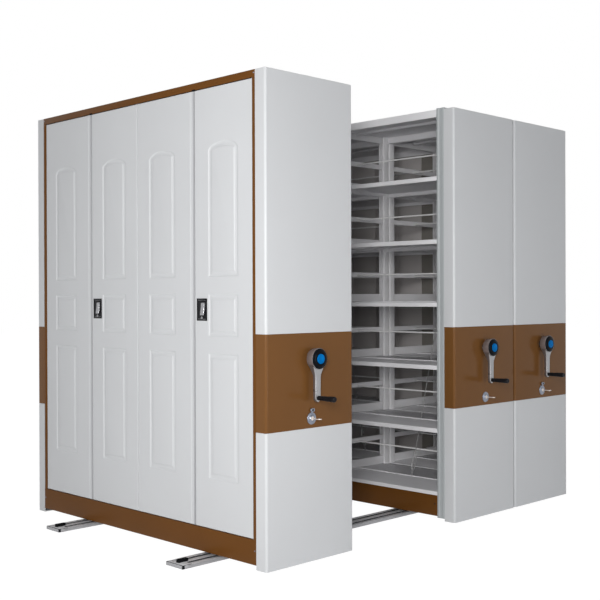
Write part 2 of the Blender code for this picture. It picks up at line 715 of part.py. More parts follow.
def upright_frame_mesh(front, back):
    """Ladders, deck, top, compartment rods and diagonal ties of one carriage, as one weldment."""
    near_x, far_x = front, CARRIAGE_WIDTH - back
    middle_x = (near_x + far_x) / 2
    half_end = END_UPRIGHT_WIDTH / 2
    near_y, far_y = FRAME_START + half_end, FRAME_END - half_end
    ladders = (
        (near_y, END_UPRIGHT_WIDTH, UPRIGHT_BOTTOM),
        (MIDDLE, CENTRE_UPRIGHT_WIDTH, KICK_TOP + SEAT_GAP),
        (far_y, END_UPRIGHT_WIDTH, UPRIGHT_BOTTOM),
    )
    solids = []
    for y, width, foot in ladders:
        solids.append(upright(near_x, 1, y, width, foot))
        solids.append(upright(far_x, -1, y, width, foot))
        across = (near_x + BITE, far_x - BITE)
        sheet = (y - HANGER_SHEET / 2, y + HANGER_SHEET / 2)
        solids.append(box(across, sheet, (TOP_TOP - TOP_LIP, TOP_TOP - BITE)))
        for top in shelf_tops():
            hanger_foot = top - BITE if top == DECK_TOP else top + SEAT_GAP
            rung = top + RUNG_RISE
            solids.append(box(across, sheet, (hanger_foot, top + HANGER_HEIGHT)))
            solids.append(box(across, sheet, (rung - RUNG_HEIGHT / 2, rung + RUNG_HEIGHT / 2)))
    inset = UPRIGHT_SHEET / 2
    section_width = far_x - near_x - 2 * inset
    for top, height in ((DECK_TOP, DECK_TOP - KICK_TOP - SEAT_GAP), (TOP_TOP, TOP_LIP)):
        section = [(near_x + inset + x, top + z) for x, z in folded(section_width, height, DECK_SHEET)]
        solids.append(prism(section, "y", near_y - half_end / 2, far_y + half_end / 2))
    rod_x = middle_x + ROD_OFFSET
    for top in shelf_tops():
        height = top + ROD_RISE
        solids.append(rod((rod_x, near_y, height), (rod_x, far_y, height), ROD_RADIUS))
    for y, foot_y in ((near_y, (near_y + MIDDLE) / 2), (far_y, (far_y + MIDDLE) / 2)):
        foot = Vector((middle_x, foot_y, DECK_TOP - BITE))
        head = Vector((middle_x, y, TOP_TOP - BITE))
        along = (head - foot).normalized()
        start = foot + along * TURNBUCKLE_START
        solids.append(rod(foot, head, TIE_RADIUS))
        solids.append(rod(start, start + along * TURNBUCKLE_LENGTH, TURNBUCKLE_RADIUS))
    return combine(solids)


def shelf_mesh(front, back):
    """One level: two panels deep and two bays long, about its top face, joined by one strap."""
    near_x = front + SHELF_SETBACK
    far_x = CARRIAGE_WIDTH - back - SHELF_SETBACK
    middle_x = (near_x + far_x) / 2
    first = FRAME_START + END_UPRIGHT_WIDTH + SEAT_GAP
    inner = MIDDLE - CENTRE_UPRIGHT_WIDTH / 2 - SEAT_GAP
    solids = []
    for edge, inwards in ((near_x, 1), (far_x, -1)):
        seam = middle_x - inwards * SHELF_SEAM / 2
        t = inwards * SHELF_SHEET
        outline = (
            (edge, -SHELF_LIP), (edge + t, -SHELF_LIP), (edge + t, -SHELF_SHEET), (seam, -SHELF_SHEET),
            (seam, SHELF_UPTURN), (seam - t, SHELF_UPTURN), (seam - t, 0), (edge, 0),
        )
        solids.append(prism(outline, "y", first, inner))
        solids.append(prism(outline, "y", CARRIAGE_LENGTH - inner, CARRIAGE_LENGTH - first))
    strap_end = MIDDLE - inner + STRAP_REACH
    solids.append(
        box((middle_x - STRAP_WIDTH / 2, middle_x + STRAP_WIDTH / 2),
            (MIDDLE - strap_end, MIDDLE + strap_end), (-BITE - STRAP_SHEET, -BITE))
    )
    return combine(solids)


def relief_outline(width, low, high, arched):
    """A raised field on a door, in (y, z). An arched one has a low round head."""
    half = width / 2
    points = [(-half, low), (half, low), (half, high)]
    if arched:
        for i in range(1, ARCH_STEPS):
            turn = math.pi * i / ARCH_STEPS
            points.append((half * math.cos(turn), high + ARCH_RISE * math.sin(turn)))
    points.append((-half, high))
    return points


def door_mesh(low, high, hinge_low, handled):
    """A door as a folded tray with three raised fields, about its hinge axis on the floor."""
    hinge_x, hinge_y = hinge_axis(low, high, hinge_low)
    face = DOOR_SETBACK - hinge_x
    edges = (low - hinge_y, high - hinge_y)
    heights = door_heights()
    strip = 0 if hinge_low else MEETING_STRIP
    middle = (sum(edges) + strip) / 2
    sheet = DOOR_SHEET
    solids = [box((face, face + DOOR_DEPTH), edges, heights)]
    cuts = [
        box((face + sheet, face + DOOR_DEPTH + OVERRUN), (edges[0] + sheet, edges[1] - sheet),
            (heights[0] + sheet, heights[1] - sheet))
    ]
    fields = ((LOWER_RELIEF_SHARES, False), (MIDDLE_RELIEF_SHARES, False), (UPPER_RELIEF_SHARES, True))
    for shares, arched in fields:
        bottom, top = [heights[0] + share * (heights[1] - heights[0]) for share in shares]
        outer = relief_outline(RELIEF_WIDTH, bottom, top, arched)
        inner = relief_outline(RELIEF_WIDTH - 2 * sheet, bottom + sheet, top - sheet, arched)
        front = face - RELIEF_HEIGHT
        solids.append(
            prism([(middle + y, z) for y, z in outer], "x", front, face + sheet / 2)
        )
        cuts.append(
            prism([(middle + y, z) for y, z in inner], "x", front + sheet, face + 2 * sheet)
        )
    pin = circle(HINGE_PIN_RADIUS, PIN_STEPS)
    solids.append(prism(pin, "z", heights[0] - HINGE_PIN_LENGTH, heights[0] + HINGE_PIN_ROOT))
    solids.append(prism(pin, "z", heights[1] - HINGE_PIN_ROOT, heights[1] + HINGE_PIN_LENGTH))
    if handled:
        plate = handle_span(edges, hinge_low)
        frame = [face - HANDLE_PROUD, face + sheet / 2]
        solids.append(box(frame, *plate))
        window = [(a + HANDLE_RIM, b - HANDLE_RIM) for a, b in plate]
        cuts.append(box((face - OVERRUN, face + 2 * sheet), *window))
    skin = combine(solids[:1], cuts[:1])
    tray = bpy.data.objects.new("tray", skin)
    bpy.context.scene.collection.objects.link(tray)
    return combine([tray, *solids[1:]], cuts[1:])


def handle_span(edges, hinge_low):
    """The handle plate's extent along Y and Z, beside the door's free edge."""
    if hinge_low:
        y = (edges[1] - HANDLE_EDGE - HANDLE_WIDTH, edges[1] - HANDLE_EDGE)
    else:
        y = (edges[0] + HANDLE_EDGE, edges[0] + HANDLE_EDGE + HANDLE_WIDTH)
    return y, (HANDLE_CENTRE - HANDLE_HEIGHT / 2, HANDLE_CENTRE + HANDLE_HEIGHT / 2)


def paddle_mesh():
    """The handle's paddle, about its own hinge: it pulls out at its other edge."""
    width = HANDLE_WIDTH - 2 * HANDLE_RIM - 2 * PADDLE_GAP
    height = HANDLE_HEIGHT - 2 * HANDLE_RIM - 2 * PADDLE_GAP
    near = -PADDLE_HINGE_INSET
    return combine([
        box((-PADDLE_SHEET / 2, PADDLE_SHEET / 2), (near, near + width), (-height / 2, height / 2)),
    ])


def back_panel_mesh():
    """The closed back: flat boards with a rib down each middle and each joint."""
    start = FRAME_START + SEAT_GAP
    end = CARRIAGE_LENGTH - start
    low = KICK_TOP + SEAT_GAP
    outer = CARRIAGE_WIDTH
    inner = CARRIAGE_WIDTH - BACK_SHEET
    solids = [box((inner, outer), (start, end), (low, BACK_TOP))]
    rib = (inner - BACK_RIB, inner + BITE)
    board = (end - start) / BACK_BOARDS
    for i in range(2 * BACK_BOARDS + 1):
        at = min(max(start + board * i / 2, start + BACK_SHEET), end - BACK_SHEET)
        solids.append(box(rib, (at - BACK_SHEET / 2, at + BACK_SHEET / 2), (low + BITE, BACK_TOP - BITE)))
    return combine(solids)


def build_carriage(side, at, front, back, shared):
    """Places one carriage's pieces under an empty at its near lower corner on the floor."""
    origin = place(side, None, at=(at, NEAR_FACE, 0))
    frame = finished(upright_frame_mesh(front, back), f"{side} upright frame", WHITE_COAT)
    place(f"{side}_upright_frame", frame, origin)
    chassis = base_frame_mesh(front, back, side == "left")
    place(f"{side}_base_frame", finished(chassis, f"{side} base frame", BROWN_COAT), origin)
    shelf = finished(shelf_mesh(front, back), f"{side} shelf", WHITE_COAT)
    for level, top in enumerate(shelf_tops()[1:], start=1):
        place(f"{side}_shelf_{level}", shelf, origin, (0, 0, top))
    for name in ("end_panel", "panel_band", "far_end_panel", "drive_chain"):
        place(f"{side}_{name}", shared[name], origin)
    place(f"{side}_drive_wheelset", shared["drive_wheelset"], origin, (WHEEL_INSET, 0, AXLE_HEIGHT))
    idler_at = (CARRIAGE_WIDTH - WHEEL_INSET, 0, AXLE_HEIGHT)
    place(f"{side}_idler_wheelset", shared["idler_wheelset"], origin, idler_at)
    axis = place(f"{side} crank axis", None, origin, (CARRIAGE_WIDTH / 2, 0, CRANK_HEIGHT))
    place(f"{side}_crank", shared["crank"], axis)
    grip_at = -HEAD_STANDOFF - HEAD_DEPTH / 2 - ARM_DEPTH / 2 - SEAT_GAP
    place(f"{side}_crank_grip", shared["crank_grip"], axis, (0, grip_at, -ARM_LENGTH))
    button_at = -HEAD_STANDOFF - HEAD_DEPTH - CAP_DEPTH - BUTTON_PROUD + BUTTON_LENGTH
    place(f"{side}_crank_button", shared["crank_button"], axis, (0, button_at, 0))
    place(f"{side}_lock_key", shared["lock_key"], origin, (CARRIAGE_WIDTH / 2, 0, LOCK_HEIGHT))
    return origin


def build_doors(origin):
    """Four doors in two pairs. The one nearer the cranks in each pair has the handle."""
    paddle = finished(paddle_mesh(), "door handle", CHROME)
    for number, door in enumerate(door_edges(), start=1):
        handled = door[2]
        hinge = hinge_axis(*door)
        mesh = finished(door_mesh(*door, handled), f"door {number}", WHITE_COAT)
        leaf = place(f"left_door_{number}", mesh, origin, (*hinge, 0))
        if not handled:
            continue
        (low, _), _ = handle_span((door[0] - hinge[1], door[1] - hinge[1]), handled)
        pivot_y = low + HANDLE_RIM + PADDLE_GAP + PADDLE_HINGE_INSET
        pivot_x = DOOR_SETBACK - hinge[0]
        place(f"left_door_{number}_handle", paddle, leaf, (pivot_x, pivot_y, HANDLE_CENTRE))


def build():
    clear_scene()
    rail = finished(rail_mesh(), "rail", ZINC)
    for name, y in zip(("near_rail", "far_rail"), RAILS_AT):
        place(name, rail, at=(0, NEAR_FACE + y, 0))
    inner_end = FRAME_START + SEAT_GAP
    far_axle_end = CARRIAGE_LENGTH - inner_end
    shared = {
        "end_panel": finished(near_panel_mesh(), "end panel", WHITE_COAT),
        "panel_band": finished(band_mesh(), "panel band", BROWN_COAT),
        "far_end_panel": finished(far_panel_mesh(), "far end panel", WHITE_COAT),
        "drive_chain": finished(chain_mesh(), "drive chain", STEEL),
        "crank": finished(crank_mesh(), "crank", CHROME),
        "crank_grip": finished(grip_mesh(), "crank grip", BLACK_PLASTIC),
        "crank_button": finished(button_mesh(), "crank button", BLUE_PLASTIC),
        "lock_key": finished(key_mesh(), "lock key", CHROME),
        "drive_wheelset": finished(
            wheelset_mesh(CHAIN_SETBACK - BITE, far_axle_end, True), "drive wheelset", STEEL
        ),
        "idler_wheelset": finished(
            wheelset_mesh(inner_end, far_axle_end, False), "idler wheelset", STEEL
        ),
    }
    left = build_carriage("left", LEFT_AT, DOOR_ZONE, 0, shared)
    build_carriage("middle", MIDDLE_AT, 0, 0, shared)
    right = build_carriage("right", RIGHT_AT, 0, BACK_ZONE, shared)
    build_doors(left)
    place("right_back_panel", finished(back_panel_mesh(), "back panel", WHITE_COAT), right)


build()
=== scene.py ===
"""The looks of the compact mobile shelving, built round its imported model.

Metres, in the model's frame: the carriages roll along X, and their cranks face -Y. The pieces of a
carriage are drawn in its own coordinates, from its near lower corner on the floor, and set there.
"""

import math

import bmesh
import bpy
from mathutils import Matrix, Vector
from mathutils.geometry import tessellate_polygon


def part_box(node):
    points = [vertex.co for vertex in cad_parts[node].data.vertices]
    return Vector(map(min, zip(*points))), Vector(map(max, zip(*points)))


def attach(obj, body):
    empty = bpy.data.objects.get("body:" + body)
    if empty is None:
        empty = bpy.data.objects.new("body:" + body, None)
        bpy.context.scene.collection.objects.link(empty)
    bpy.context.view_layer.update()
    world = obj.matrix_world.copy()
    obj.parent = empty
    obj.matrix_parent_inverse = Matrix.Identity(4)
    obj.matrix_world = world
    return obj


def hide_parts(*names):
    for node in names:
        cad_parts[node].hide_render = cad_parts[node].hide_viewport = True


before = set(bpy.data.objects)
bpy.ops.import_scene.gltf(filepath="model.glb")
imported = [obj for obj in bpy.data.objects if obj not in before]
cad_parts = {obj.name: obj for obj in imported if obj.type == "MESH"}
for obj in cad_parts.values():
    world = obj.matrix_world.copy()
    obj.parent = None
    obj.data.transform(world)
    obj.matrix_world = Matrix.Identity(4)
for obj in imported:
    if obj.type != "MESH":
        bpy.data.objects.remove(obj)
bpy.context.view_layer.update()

# The carriages' places and main sizes, read from the model.
SIDES = ("left", "middle", "right")
PANEL_LOW, PANEL_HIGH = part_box("left_end_panel")
NEAR_FACE = PANEL_LOW.y
WIDTH = PANEL_HIGH.x - PANEL_LOW.x
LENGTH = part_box("left_far_end_panel")[1].y - NEAR_FACE
PANEL_DEPTH = PANEL_HIGH.y - PANEL_LOW.y
PANEL_BOTTOM, PANEL_TOP = PANEL_LOW.z, PANEL_HIGH.z
SIDE_AT = {side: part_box(f"{side}_end_panel")[0].x for side in SIDES}
CENTRE = WIDTH / 2
MIDDLE = LENGTH / 2
SEAT_GAP = 0.0003
# Edges that turn further than this are rounded by softened, and those that turn further than this look sharp.
BEVEL_ANGLE, SMOOTH_ANGLE = math.radians(40), math.radians(38)
FOLD_STEPS = 3
FRAME_START = PANEL_DEPTH + SEAT_GAP
FRAME_END = LENGTH - FRAME_START

# Rails.
RAIL_SPACING = 1.075
RAIL_WIDTH = 0.130
RAIL_HEIGHT = 0.018
RAIL_FLOOR = 0.005
RAIL_FLANGE = 0.026
RAIL_BAR = 0.036
CAP_PLATE = 0.058
STOP_START = 0.020
STOP_LENGTH = 0.058
STOP_WIDTH = 0.022
STOP_HEIGHT = 0.015

# End panels and their bands.
PANEL_CORNER = 0.012
PANEL_WALL = 0.004
BAND_BOTTOM, BAND_TOP = 0.654, 1.105
BAND_SHEET = 0.0015
BAND_RECESS = BAND_SHEET + SEAT_GAP
CORNER_STEPS = 10

# Crank, about its own axis at the panel's face.
CRANK_HEIGHT = 0.984
HEAD_RADIUS = 0.051
HEAD_BACK, HEAD_FRONT = -0.017, -0.056
CAP_FACE = -0.065
CAP_RADIUS = 0.049
CAP_LIP = 0.006
CAP_DEPTH = 0.012
BUTTON_RADIUS = 0.0236
BUTTON_FACE = -0.068
NECK_END = -0.086
ARM_LENGTH = 0.185
ARM_BACK, ARM_FRONT = -0.029, -0.047
ARM_HALF, ARM_TIP_HALF = 0.0195, 0.0180
GRIP_LENGTH = 0.108
GRIP_ROOT = 0.011
COLLAR_RADIUS = 0.024

# Lock.
LOCK_HEIGHT = 0.700
ROSETTE_RADIUS = 0.029
ROSETTE_FACE = -0.010
BLADE_LENGTH = 0.024
BOW_LENGTH, BOW_WIDTH = 0.030, 0.022
KEY_SHEET = 0.0036

# Base frame, deck and top.
KICK_BOTTOM, KICK_TOP = 0.042, 0.158
KICK_SETBACK = 0.002
KICK_SHEET = 0.003
KICK_FLANGE = 0.026
DECK_TOP = 0.180
TOP_TOP = PANEL_TOP + 0.002
TOP_LIP = 0.042
UPRIGHT_TOP = PANEL_TOP + 0.008
UPRIGHT_BOTTOM = 0.035
UPRIGHT_DEPTH = 0.047
END_UPRIGHT, CENTRE_UPRIGHT = 0.052, 0.045
HANGER_HEIGHT = 0.050
RUNG_HEIGHT, RUNG_RISE = 0.030, 0.174
ROD_RADIUS, ROD_RISE = 0.0048, 0.170
ROD_OFFSET = 0.008
AXLE_HEIGHT, AXLE_INSET = 0.0733, 0.09
MEMBER_OFFSET, MEMBER_SHEET = 0.022, 0.006
TIE_RADIUS = 0.0022
BUCKLE_ENDS = (0.040, 0.150)
BUCKLE_HALF, BUCKLE_BEND, BUCKLE_WIRE = 0.010, 0.012, 0.0026
HOOK_RADIUS = 0.007

# Shelves.
SHELF_LEVELS = 5
SHELF_PITCH = 0.354
SHELF_TOPS = [DECK_TOP + SHELF_PITCH * level for level in range(SHELF_LEVELS + 1)]
SHELF_LIP = 0.025
SHELF_UPTURN = 0.004
SHELF_SEAM = 0.006
SHELF_SETBACK = 0.002
SHELF_SHEET = 0.0012
STRAP_WIDTH, STRAP_REACH = 0.070, 0.1006

# Doors and their surround.
SURROUND_DEPTH = 0.024
SURROUND_SIDE = 0.020
SURROUND_TOP = 0.0345
DOOR_RISE = 0.0035
DOOR_SETBACK = 0.004
DOOR_DEPTH = 0.016
HANDLE_CENTRE = 1.215
HANDLE_HEIGHT = 0.108
HANDLE_WIDTH = 0.075
HANDLE_EDGE = 0.016
HANDLE_RIM = 0.0078
PIN_LENGTH = 0.008
HINGE_INSET = 0.004
MEETING_STRIP = 0.047
# The last value is how far the painted shade along a meeting gap reaches onto the leaf's edge.
STRIP_WIDTH, STRIP_STEP, GAP_SHADE_WIDTH = 0.026, 0.0013, 0.008
RELIEF_WIDTH = 0.215
LOWER_RELIEF_SHARES = (0.113, 0.398)
MIDDLE_RELIEF_SHARES = (0.436, 0.533)
UPPER_RELIEF_SHARES = (0.571, 0.856)
ARCH_RISE = 0.042
ARCH_STEPS = 32
FIELD_CORNER = 0.006
FIELD_STEPS = 5
# How deep a pressed field lies under the leaf's face, by the distance in from its outline.
MOULDING = (
    (-0.003, 0.0), (0.0, 0.0), (0.0012, 0.0005), (0.0035, 0.0020), (0.0062, 0.0032), (0.0090, 0.0035),
    (0.0130, 0.0034), (0.0245, 0.0023), (0.0257, 0.0017), (0.0273, 0.0003), (0.0290, 0.0001),
)
DOOR_ZONE = 0.026
BACK_ZONE = 0.022

# Closed back: its boards outside, and the lining inside, by the model's Y.
BACK_BOARDS, BOARD_SHEET = 4, 0.002
LINING_BOARDS, LINING_START, LINING_PITCH = 9, -0.8475, 0.2175
# Which lining boards take the deeper painted shade.
DEEP_SHADE_LININGS = (0, 2, 4)

# Camera: its place from the left carriage's near corner, its turns, and its focal length in picture widths.
CAMERA_PLACE = Vector((-3.149, -3.379, 1.276))
CAMERA_YAW, CAMERA_PITCH, CAMERA_ROLL = 0.7870, -0.0032, -0.0031
CAMERA_FOCAL = 1018.5 / 600


def node_of(tree, kind, values):
    """A new shader node, with values for its named sockets."""
    node = tree.nodes.new(f"ShaderNode{kind}")
    for name, value in values.items():
        node.inputs[name].default_value = value
    return node


def shader_of(name, colour, metallic, roughness):
    """A material with its node tree and its Principled shader."""
    surface = bpy.data.materials.new(name)
    surface.use_nodes = True
    tree = surface.node_tree
    shader = tree.nodes["Principled BSDF"]
    shader.inputs["Base Color"].default_value = (*colour, 1)
    shader.inputs["Metallic"].default_value = metallic
    shader.inputs["Roughness"].default_value = roughness
    surface.diffuse_color = (*colour, 1)
    return surface, tree, shader


def noise(tree, scale, detail, stretch=(1, 1, 1)):
    """A noise texture in the piece's own coordinates."""
    place = tree.nodes.new("ShaderNodeTexCoord")
    mapping = node_of(tree, "Mapping", {"Scale": stretch})
    texture = node_of(tree, "TexNoise", {"Scale": scale, "Detail": detail})
    tree.links.new(place.outputs["Object"], mapping.inputs["Vector"])
    tree.links.new(mapping.outputs["Vector"], texture.inputs["Vector"])
    return texture.outputs["Fac"]


def roughen(tree, shader, fac, roughness, shares):
    """Lets the roughness run between two shares of it with fac."""
    low, high = (roughness * share for share in shares)
    node = node_of(tree, "MapRange", {"From Min": 0.3, "From Max": 0.7, "To Min": low, "To Max": high})
    tree.links.new(fac, node.inputs["Value"])
    tree.links.new(node.outputs["Result"], shader.inputs["Roughness"])


def tint(tree, shader, fac, colour, spread):
    """Lets the colour run from a darker to a lighter one with fac."""
    ramp = tree.nodes.new("ShaderNodeValToRGB")
    for end, place, share in zip(ramp.color_ramp.elements, (0.3, 0.7), (1 - spread, 1 + spread)):
        end.position = place
        end.color = (*[min(1, c * share) for c in colour], 1)
    tree.links.new(fac, ramp.inputs["Fac"])
    tree.links.new(ramp.outputs["Color"], shader.inputs["Base Color"])


def bump(tree, shader, fac, distance):
    """Raises the surface with fac."""
    node = node_of(tree, "Bump", {"Distance": distance})
    tree.links.new(fac, node.inputs["Height"])
    tree.links.new(node.outputs["Normal"], shader.inputs["Normal"])


# A finish's grain: scale and detail of the noise in its tone, gloss and relief, and the shares of its roughness.
COAT_GRAIN = ((2.2, 3.0), (9.0, 2.0), (420.0, 1.0), (0.9, 1.12))
PLASTIC_GRAIN = ((30.0, 2.0), (60.0, 2.0), (900.0, 2.0), (0.85, 1.15))
METAL_SHARES = (0.8, 1.25)


def coat_material(name, colour, roughness, gloss=0.42, spread=0.012, relief=4e-5, grain=COAT_GRAIN):
    """Powder coat: faint orange peel, and a slow drift in tone and gloss."""
    surface, tree, shader = shader_of(name, colour, 0.0, roughness)
    shader.inputs["Specular IOR Level"].default_value = gloss
    tone, sheen, peel, shares = grain
    tint(tree, shader, noise(tree, *tone), colour, spread)
    roughen(tree, shader, noise(tree, *sheen), roughness, shares)
    bump(tree, shader, noise(tree, *peel), relief)
    return surface


def plastic_material(name, colour, roughness, gloss, relief):
    """Moulded plastic with a fine grain."""
    return coat_material(name, colour, roughness, gloss, 0.15, relief, PLASTIC_GRAIN)


def metal_material(name, colour, roughness, metallic=1.0, scale=35, spread=0.06, relief=2e-5, stretch=(1, 1, 1)):
    """Metal with cloudy or brushed variation in its tone and gloss."""
    surface, tree, shader = shader_of(name, colour, metallic, roughness)
    fac = noise(tree, scale, 4.0, stretch)
    tint(tree, shader, fac, colour, spread)
    roughen(tree, shader, fac, roughness, METAL_SHARES)
    bump(tree, shader, fac, relief)
    return surface


WHITE = coat_material("white coat", (0.595, 0.605, 0.62), 0.44)
# A lighter copy of the white coat for the shelves, ladders, deck and top inside: painted light, to lift the
# interior.
LIT_INNER_WHITE = coat_material("inner white painted light", (0.85, 0.845, 0.865), 0.40)
ROD_WHITE = coat_material("rod coat", (0.80, 0.80, 0.80), 0.35, 0.5, 0.02, 2e-5)
# A darker grey copy of the coat for the end ladders' uprights: painted shade, where the end panels shade them.
SHADED_UPRIGHT_GREY = coat_material("end upright painted shade", (0.42, 0.445, 0.455), 0.40)
# Lining tones inside the closed back: painted shade, and a deeper painted shade for some of its boards.
LINING_SHADE = coat_material("lining painted shade", (0.48, 0.455, 0.45), 0.55, 0.30, 0.03)
DEEP_LINING_SHADE = coat_material("lining deeper painted shade", (0.26, 0.245, 0.225), 0.55, 0.30, 0.03)
# Grey for the doors' edges along a meeting gap: painted shade in the gap.
GAP_SHADE = coat_material("gap painted shade", (0.39, 0.395, 0.41), 0.55, 0.30, 0.03, 2e-5)
BROWN = coat_material("brown coat", (0.160, 0.070, 0.021), 0.20, 0.10, 0.05, 3e-5)
FRAME_BROWN = coat_material("frame brown coat", (0.130, 0.050, 0.010), 0.34, 0.07, 0.05, 3e-5)
ZINC = metal_material("zinc", (0.36, 0.36, 0.375), 0.50, 0.3, 60, 0.10)
# A lighter, non-metal copy of the zinc for the rails' top faces: painted light where the lamps fall on them.
LIT_RAIL_TOP = metal_material("rail top painted light", (0.62, 0.615, 0.63), 0.60, 0.0, 60, 0.08)
# Near black for the rails' grooves: painted shade in the grooves.
GROOVE_SHADE = metal_material("rail groove painted shade", (0.045, 0.048, 0.055), 0.60, 0.3, 60, 0.10)
CHROME = metal_material("chrome", (0.33, 0.33, 0.345), 0.24, 1.0, 25, 0.04, 1e-5)
# Dark brown for the drum's round side: a painted reflection of the brown band, while the lamps still give it real
# highlights.
DRUM_BAND_REFLECTION = metal_material("drum painted reflection", (0.17, 0.14, 0.135), 0.12, 0.15, 25, 0.06, 1e-5)
ARM_CHROME = metal_material("arm chrome", (0.31, 0.31, 0.32), 0.30, 0.5, 25, 0.03, 5e-6)
# A dark copy of the arm's metal for its sides and back: painted dark reflection, where the polished casting mirrors
# dark surroundings.
ARM_SIDE_DARK_REFLECTION = metal_material("arm side painted dark reflection", (0.12, 0.10, 0.095), 0.30, 0.3, 25, 0.05, 1e-5)
TIE_METAL = metal_material("tie metal", (0.40, 0.40, 0.40), 0.35, 0.4)
KEY_METAL = metal_material("key metal", (0.66, 0.60, 0.56), 0.40, 0.3)
STEEL = metal_material("steel", (0.30, 0.30, 0.31), 0.38, 1.0, 40, 0.12, stretch=(1, 12, 1))
GALVANISED = metal_material("galvanised", (0.22, 0.24, 0.29), 0.30, 0.8, spread=0.08)
BLACK = plastic_material("black plastic", (0.008, 0.008, 0.010), 0.36, 0.10, 2e-5)
GLOSS_BLACK = plastic_material("gloss black plastic", (0.003, 0.004, 0.006), 0.22, 0.05, 1e-5)
BLUE = plastic_material("blue plastic", (0.0, 0.150, 0.46), 0.36, 0.04, 1e-5)
RUBBER = plastic_material("rubber", (0.008, 0.008, 0.009), 0.75, 0.02, 5e-5)


def loft(s, loops, material=0, caps=(True, True), closed=False):
    """Skins loops of equally many points, capped at the ends that caps says, or closed on itself."""
    rings = [[s.verts.new(point) for point in loop] for loop in loops]
    count = len(rings[0])
    faces = []
    for a, b in zip(rings, rings[1:] + rings[:closed]):
        for i in range(count):
            j = (i + 1) % count
            faces.append(s.faces.new((a[i], a[j], b[j], b[i])))
    if caps[0]:
        faces.append(s.faces.new(rings[0][::-1]))
    if caps[1]:
        faces.append(s.faces.new(rings[-1]))
    for face in faces:
        face.material_index = material
        face.smooth = True
    return rings


# The place of a section's point, given its two coordinates in order and its level along an axis.
ALONG = {
    "x": lambda a, b, level: (level, a, b),
    "y": lambda a, b, level: (a, level, b),
    "z": lambda a, b, level: (a, b, level),
}


def prism(s, outline, axis, start, end, material=0):
    """An outline swept along an axis. Its points are the other two coordinates, in order."""
    loft(s, [[ALONG[axis](a, b, level) for a, b in outline] for level in (start, end)], material)


def about(centre, size):
    """The two places that lie half a size to either side of a centre."""
    return centre - size / 2, centre + size / 2


def oblong(x, y):
    """The four corners between two places on each of two axes."""
    return (x[0], y[0]), (x[1], y[0]), (x[1], y[1]), (x[0], y[1])


def box(s, x, y, z, material=0):
    """A plain block between two places on each axis."""
    prism(s, oblong(x, y), "z", *z, material)


def arc(centre, radius, start, end, steps):
    """Points on a round line, both ends included."""
    turns = [start + (end - start) * i / steps for i in range(steps + 1)]
    return [(centre[0] + radius * math.cos(t), centre[1] + radius * math.sin(t)) for t in turns]


def circle(radius, steps, centre=(0, 0)):
    """Points on a whole circle."""
    return arc(centre, radius, 0, math.tau * (steps - 1) / steps, steps - 1)


def bend_at(before, at, after, right, left):
    """Centre and first and last angle of the arc round a corner, for its radius in a right or a left turn."""
    u, v = (at - before).normalized(), (after - at).normalized()
    turn = math.atan2(u.x * v.y - u.y * v.x, u.dot(v))
    radius = left if turn > 0 else right
    side = Vector((-u.y, u.x)) * math.copysign(radius, turn)
    centre = at - u * (radius * math.tan(abs(turn) / 2)) + side
    start = math.atan2(-side.y, -side.x)
    return centre, start, start + turn


def rounded(points, radius, steps=3):
    """A closed outline with its corners rounded."""
    out = []
    count = len(points)
    for i in range(count):
        corner = (Vector(points[(i + k) % count]) for k in (-1, 0, 1))
        centre, start, end = bend_at(*corner, radius, radius)
        out += arc(centre, radius, start, end, steps)
    return out


def folded(path, sheet, bend):
    """The outline of a folded sheet. path is one face of it, and the sheet lies on its left."""
    path = [Vector(p) for p in path]
    near, far = [], []
    for a, b, at in ((path[0], path[1], path[0]), (path[-2], path[-1], path[-1])):
        u = (b - a).normalized()
        near.append([tuple(at)])
        far.append([tuple(at + Vector((-u.y, u.x)) * sheet)])
    for corner in zip(path, path[1:], path[2:]):
        centre, start, end = bend_at(*corner, bend, bend + sheet)
        radii = (bend + sheet, bend) if end > start else (bend, bend + sheet)
        for side, radius in zip((near, far), radii):
            side.insert(-1, arc(centre, radius, start, end, FOLD_STEPS))
    near, far = sum(near, []), sum(far, [])
    return near + far[::-1]


def lathe(s, profile, steps, at=(0, 0, 0), axis="y", material=0):
    """A turned solid. The profile gives (radius, place along the axis) in order."""
    loops = []
    for radius, along in profile:
        ring = [ALONG[axis](a, b, along) for a, b in circle(radius, steps)]
        loops.append([[start + shift for start, shift in zip(at, point)] for point in ring])
    loft(s, loops, material)


def tube(s, points, radius, steps, material, closed=False):
    """A round bar along points."""
    points = [Vector(p) for p in points]
    loops = []
    count = len(points)
    across = None
    for i, at in enumerate(points):
        before = points[i - 1] if i or closed else at
        after = points[(i + 1) % count] if i < count - 1 or closed else at
        along = (after - before).normalized()
        if across is None:
            across = along.orthogonal().normalized()
        across = (across - along * across.dot(along)).normalized()
        other = along.cross(across)
        loops.append([at + across * a + other * b for a, b in circle(radius, steps)])
    loft(s, loops, material, (not closed, not closed), closed)


def turned(name, material, steps, profile):
    """A mesh of one turned solid about Y."""
    s = bmesh.new()
    lathe(s, profile, steps)
    return mesh_of(name, s, [material])


def softened(s, width, build, *args, segments=2, **options):
    """Adds what build makes to s, with its sharp edges rounded to width and its flat sides kept flat."""
    part = bmesh.new()
    build(part, *args, **options)
    bmesh.ops.recalc_face_normals(part, faces=part.faces)
    sharp = [e for e in part.edges if e.is_manifold and e.calc_face_angle() > BEVEL_ANGLE]
    bevel = bmesh.ops.bevel(part, geom=sharp, offset=width, segments=segments, profile=0.5, affect="EDGES",
                            clamp_overlap=True, material=-1)
    bevelled = set(bevel["faces"])
    for face in part.faces:
        beside = {other for edge in face.edges for other in edge.link_faces} - {face}
        face.smooth = face in bevelled or not beside <= bevelled
    mesh = bpy.data.meshes.new("part")
    part.to_mesh(mesh)
    part.free()
    s.from_mesh(mesh)
    bpy.data.meshes.remove(mesh)


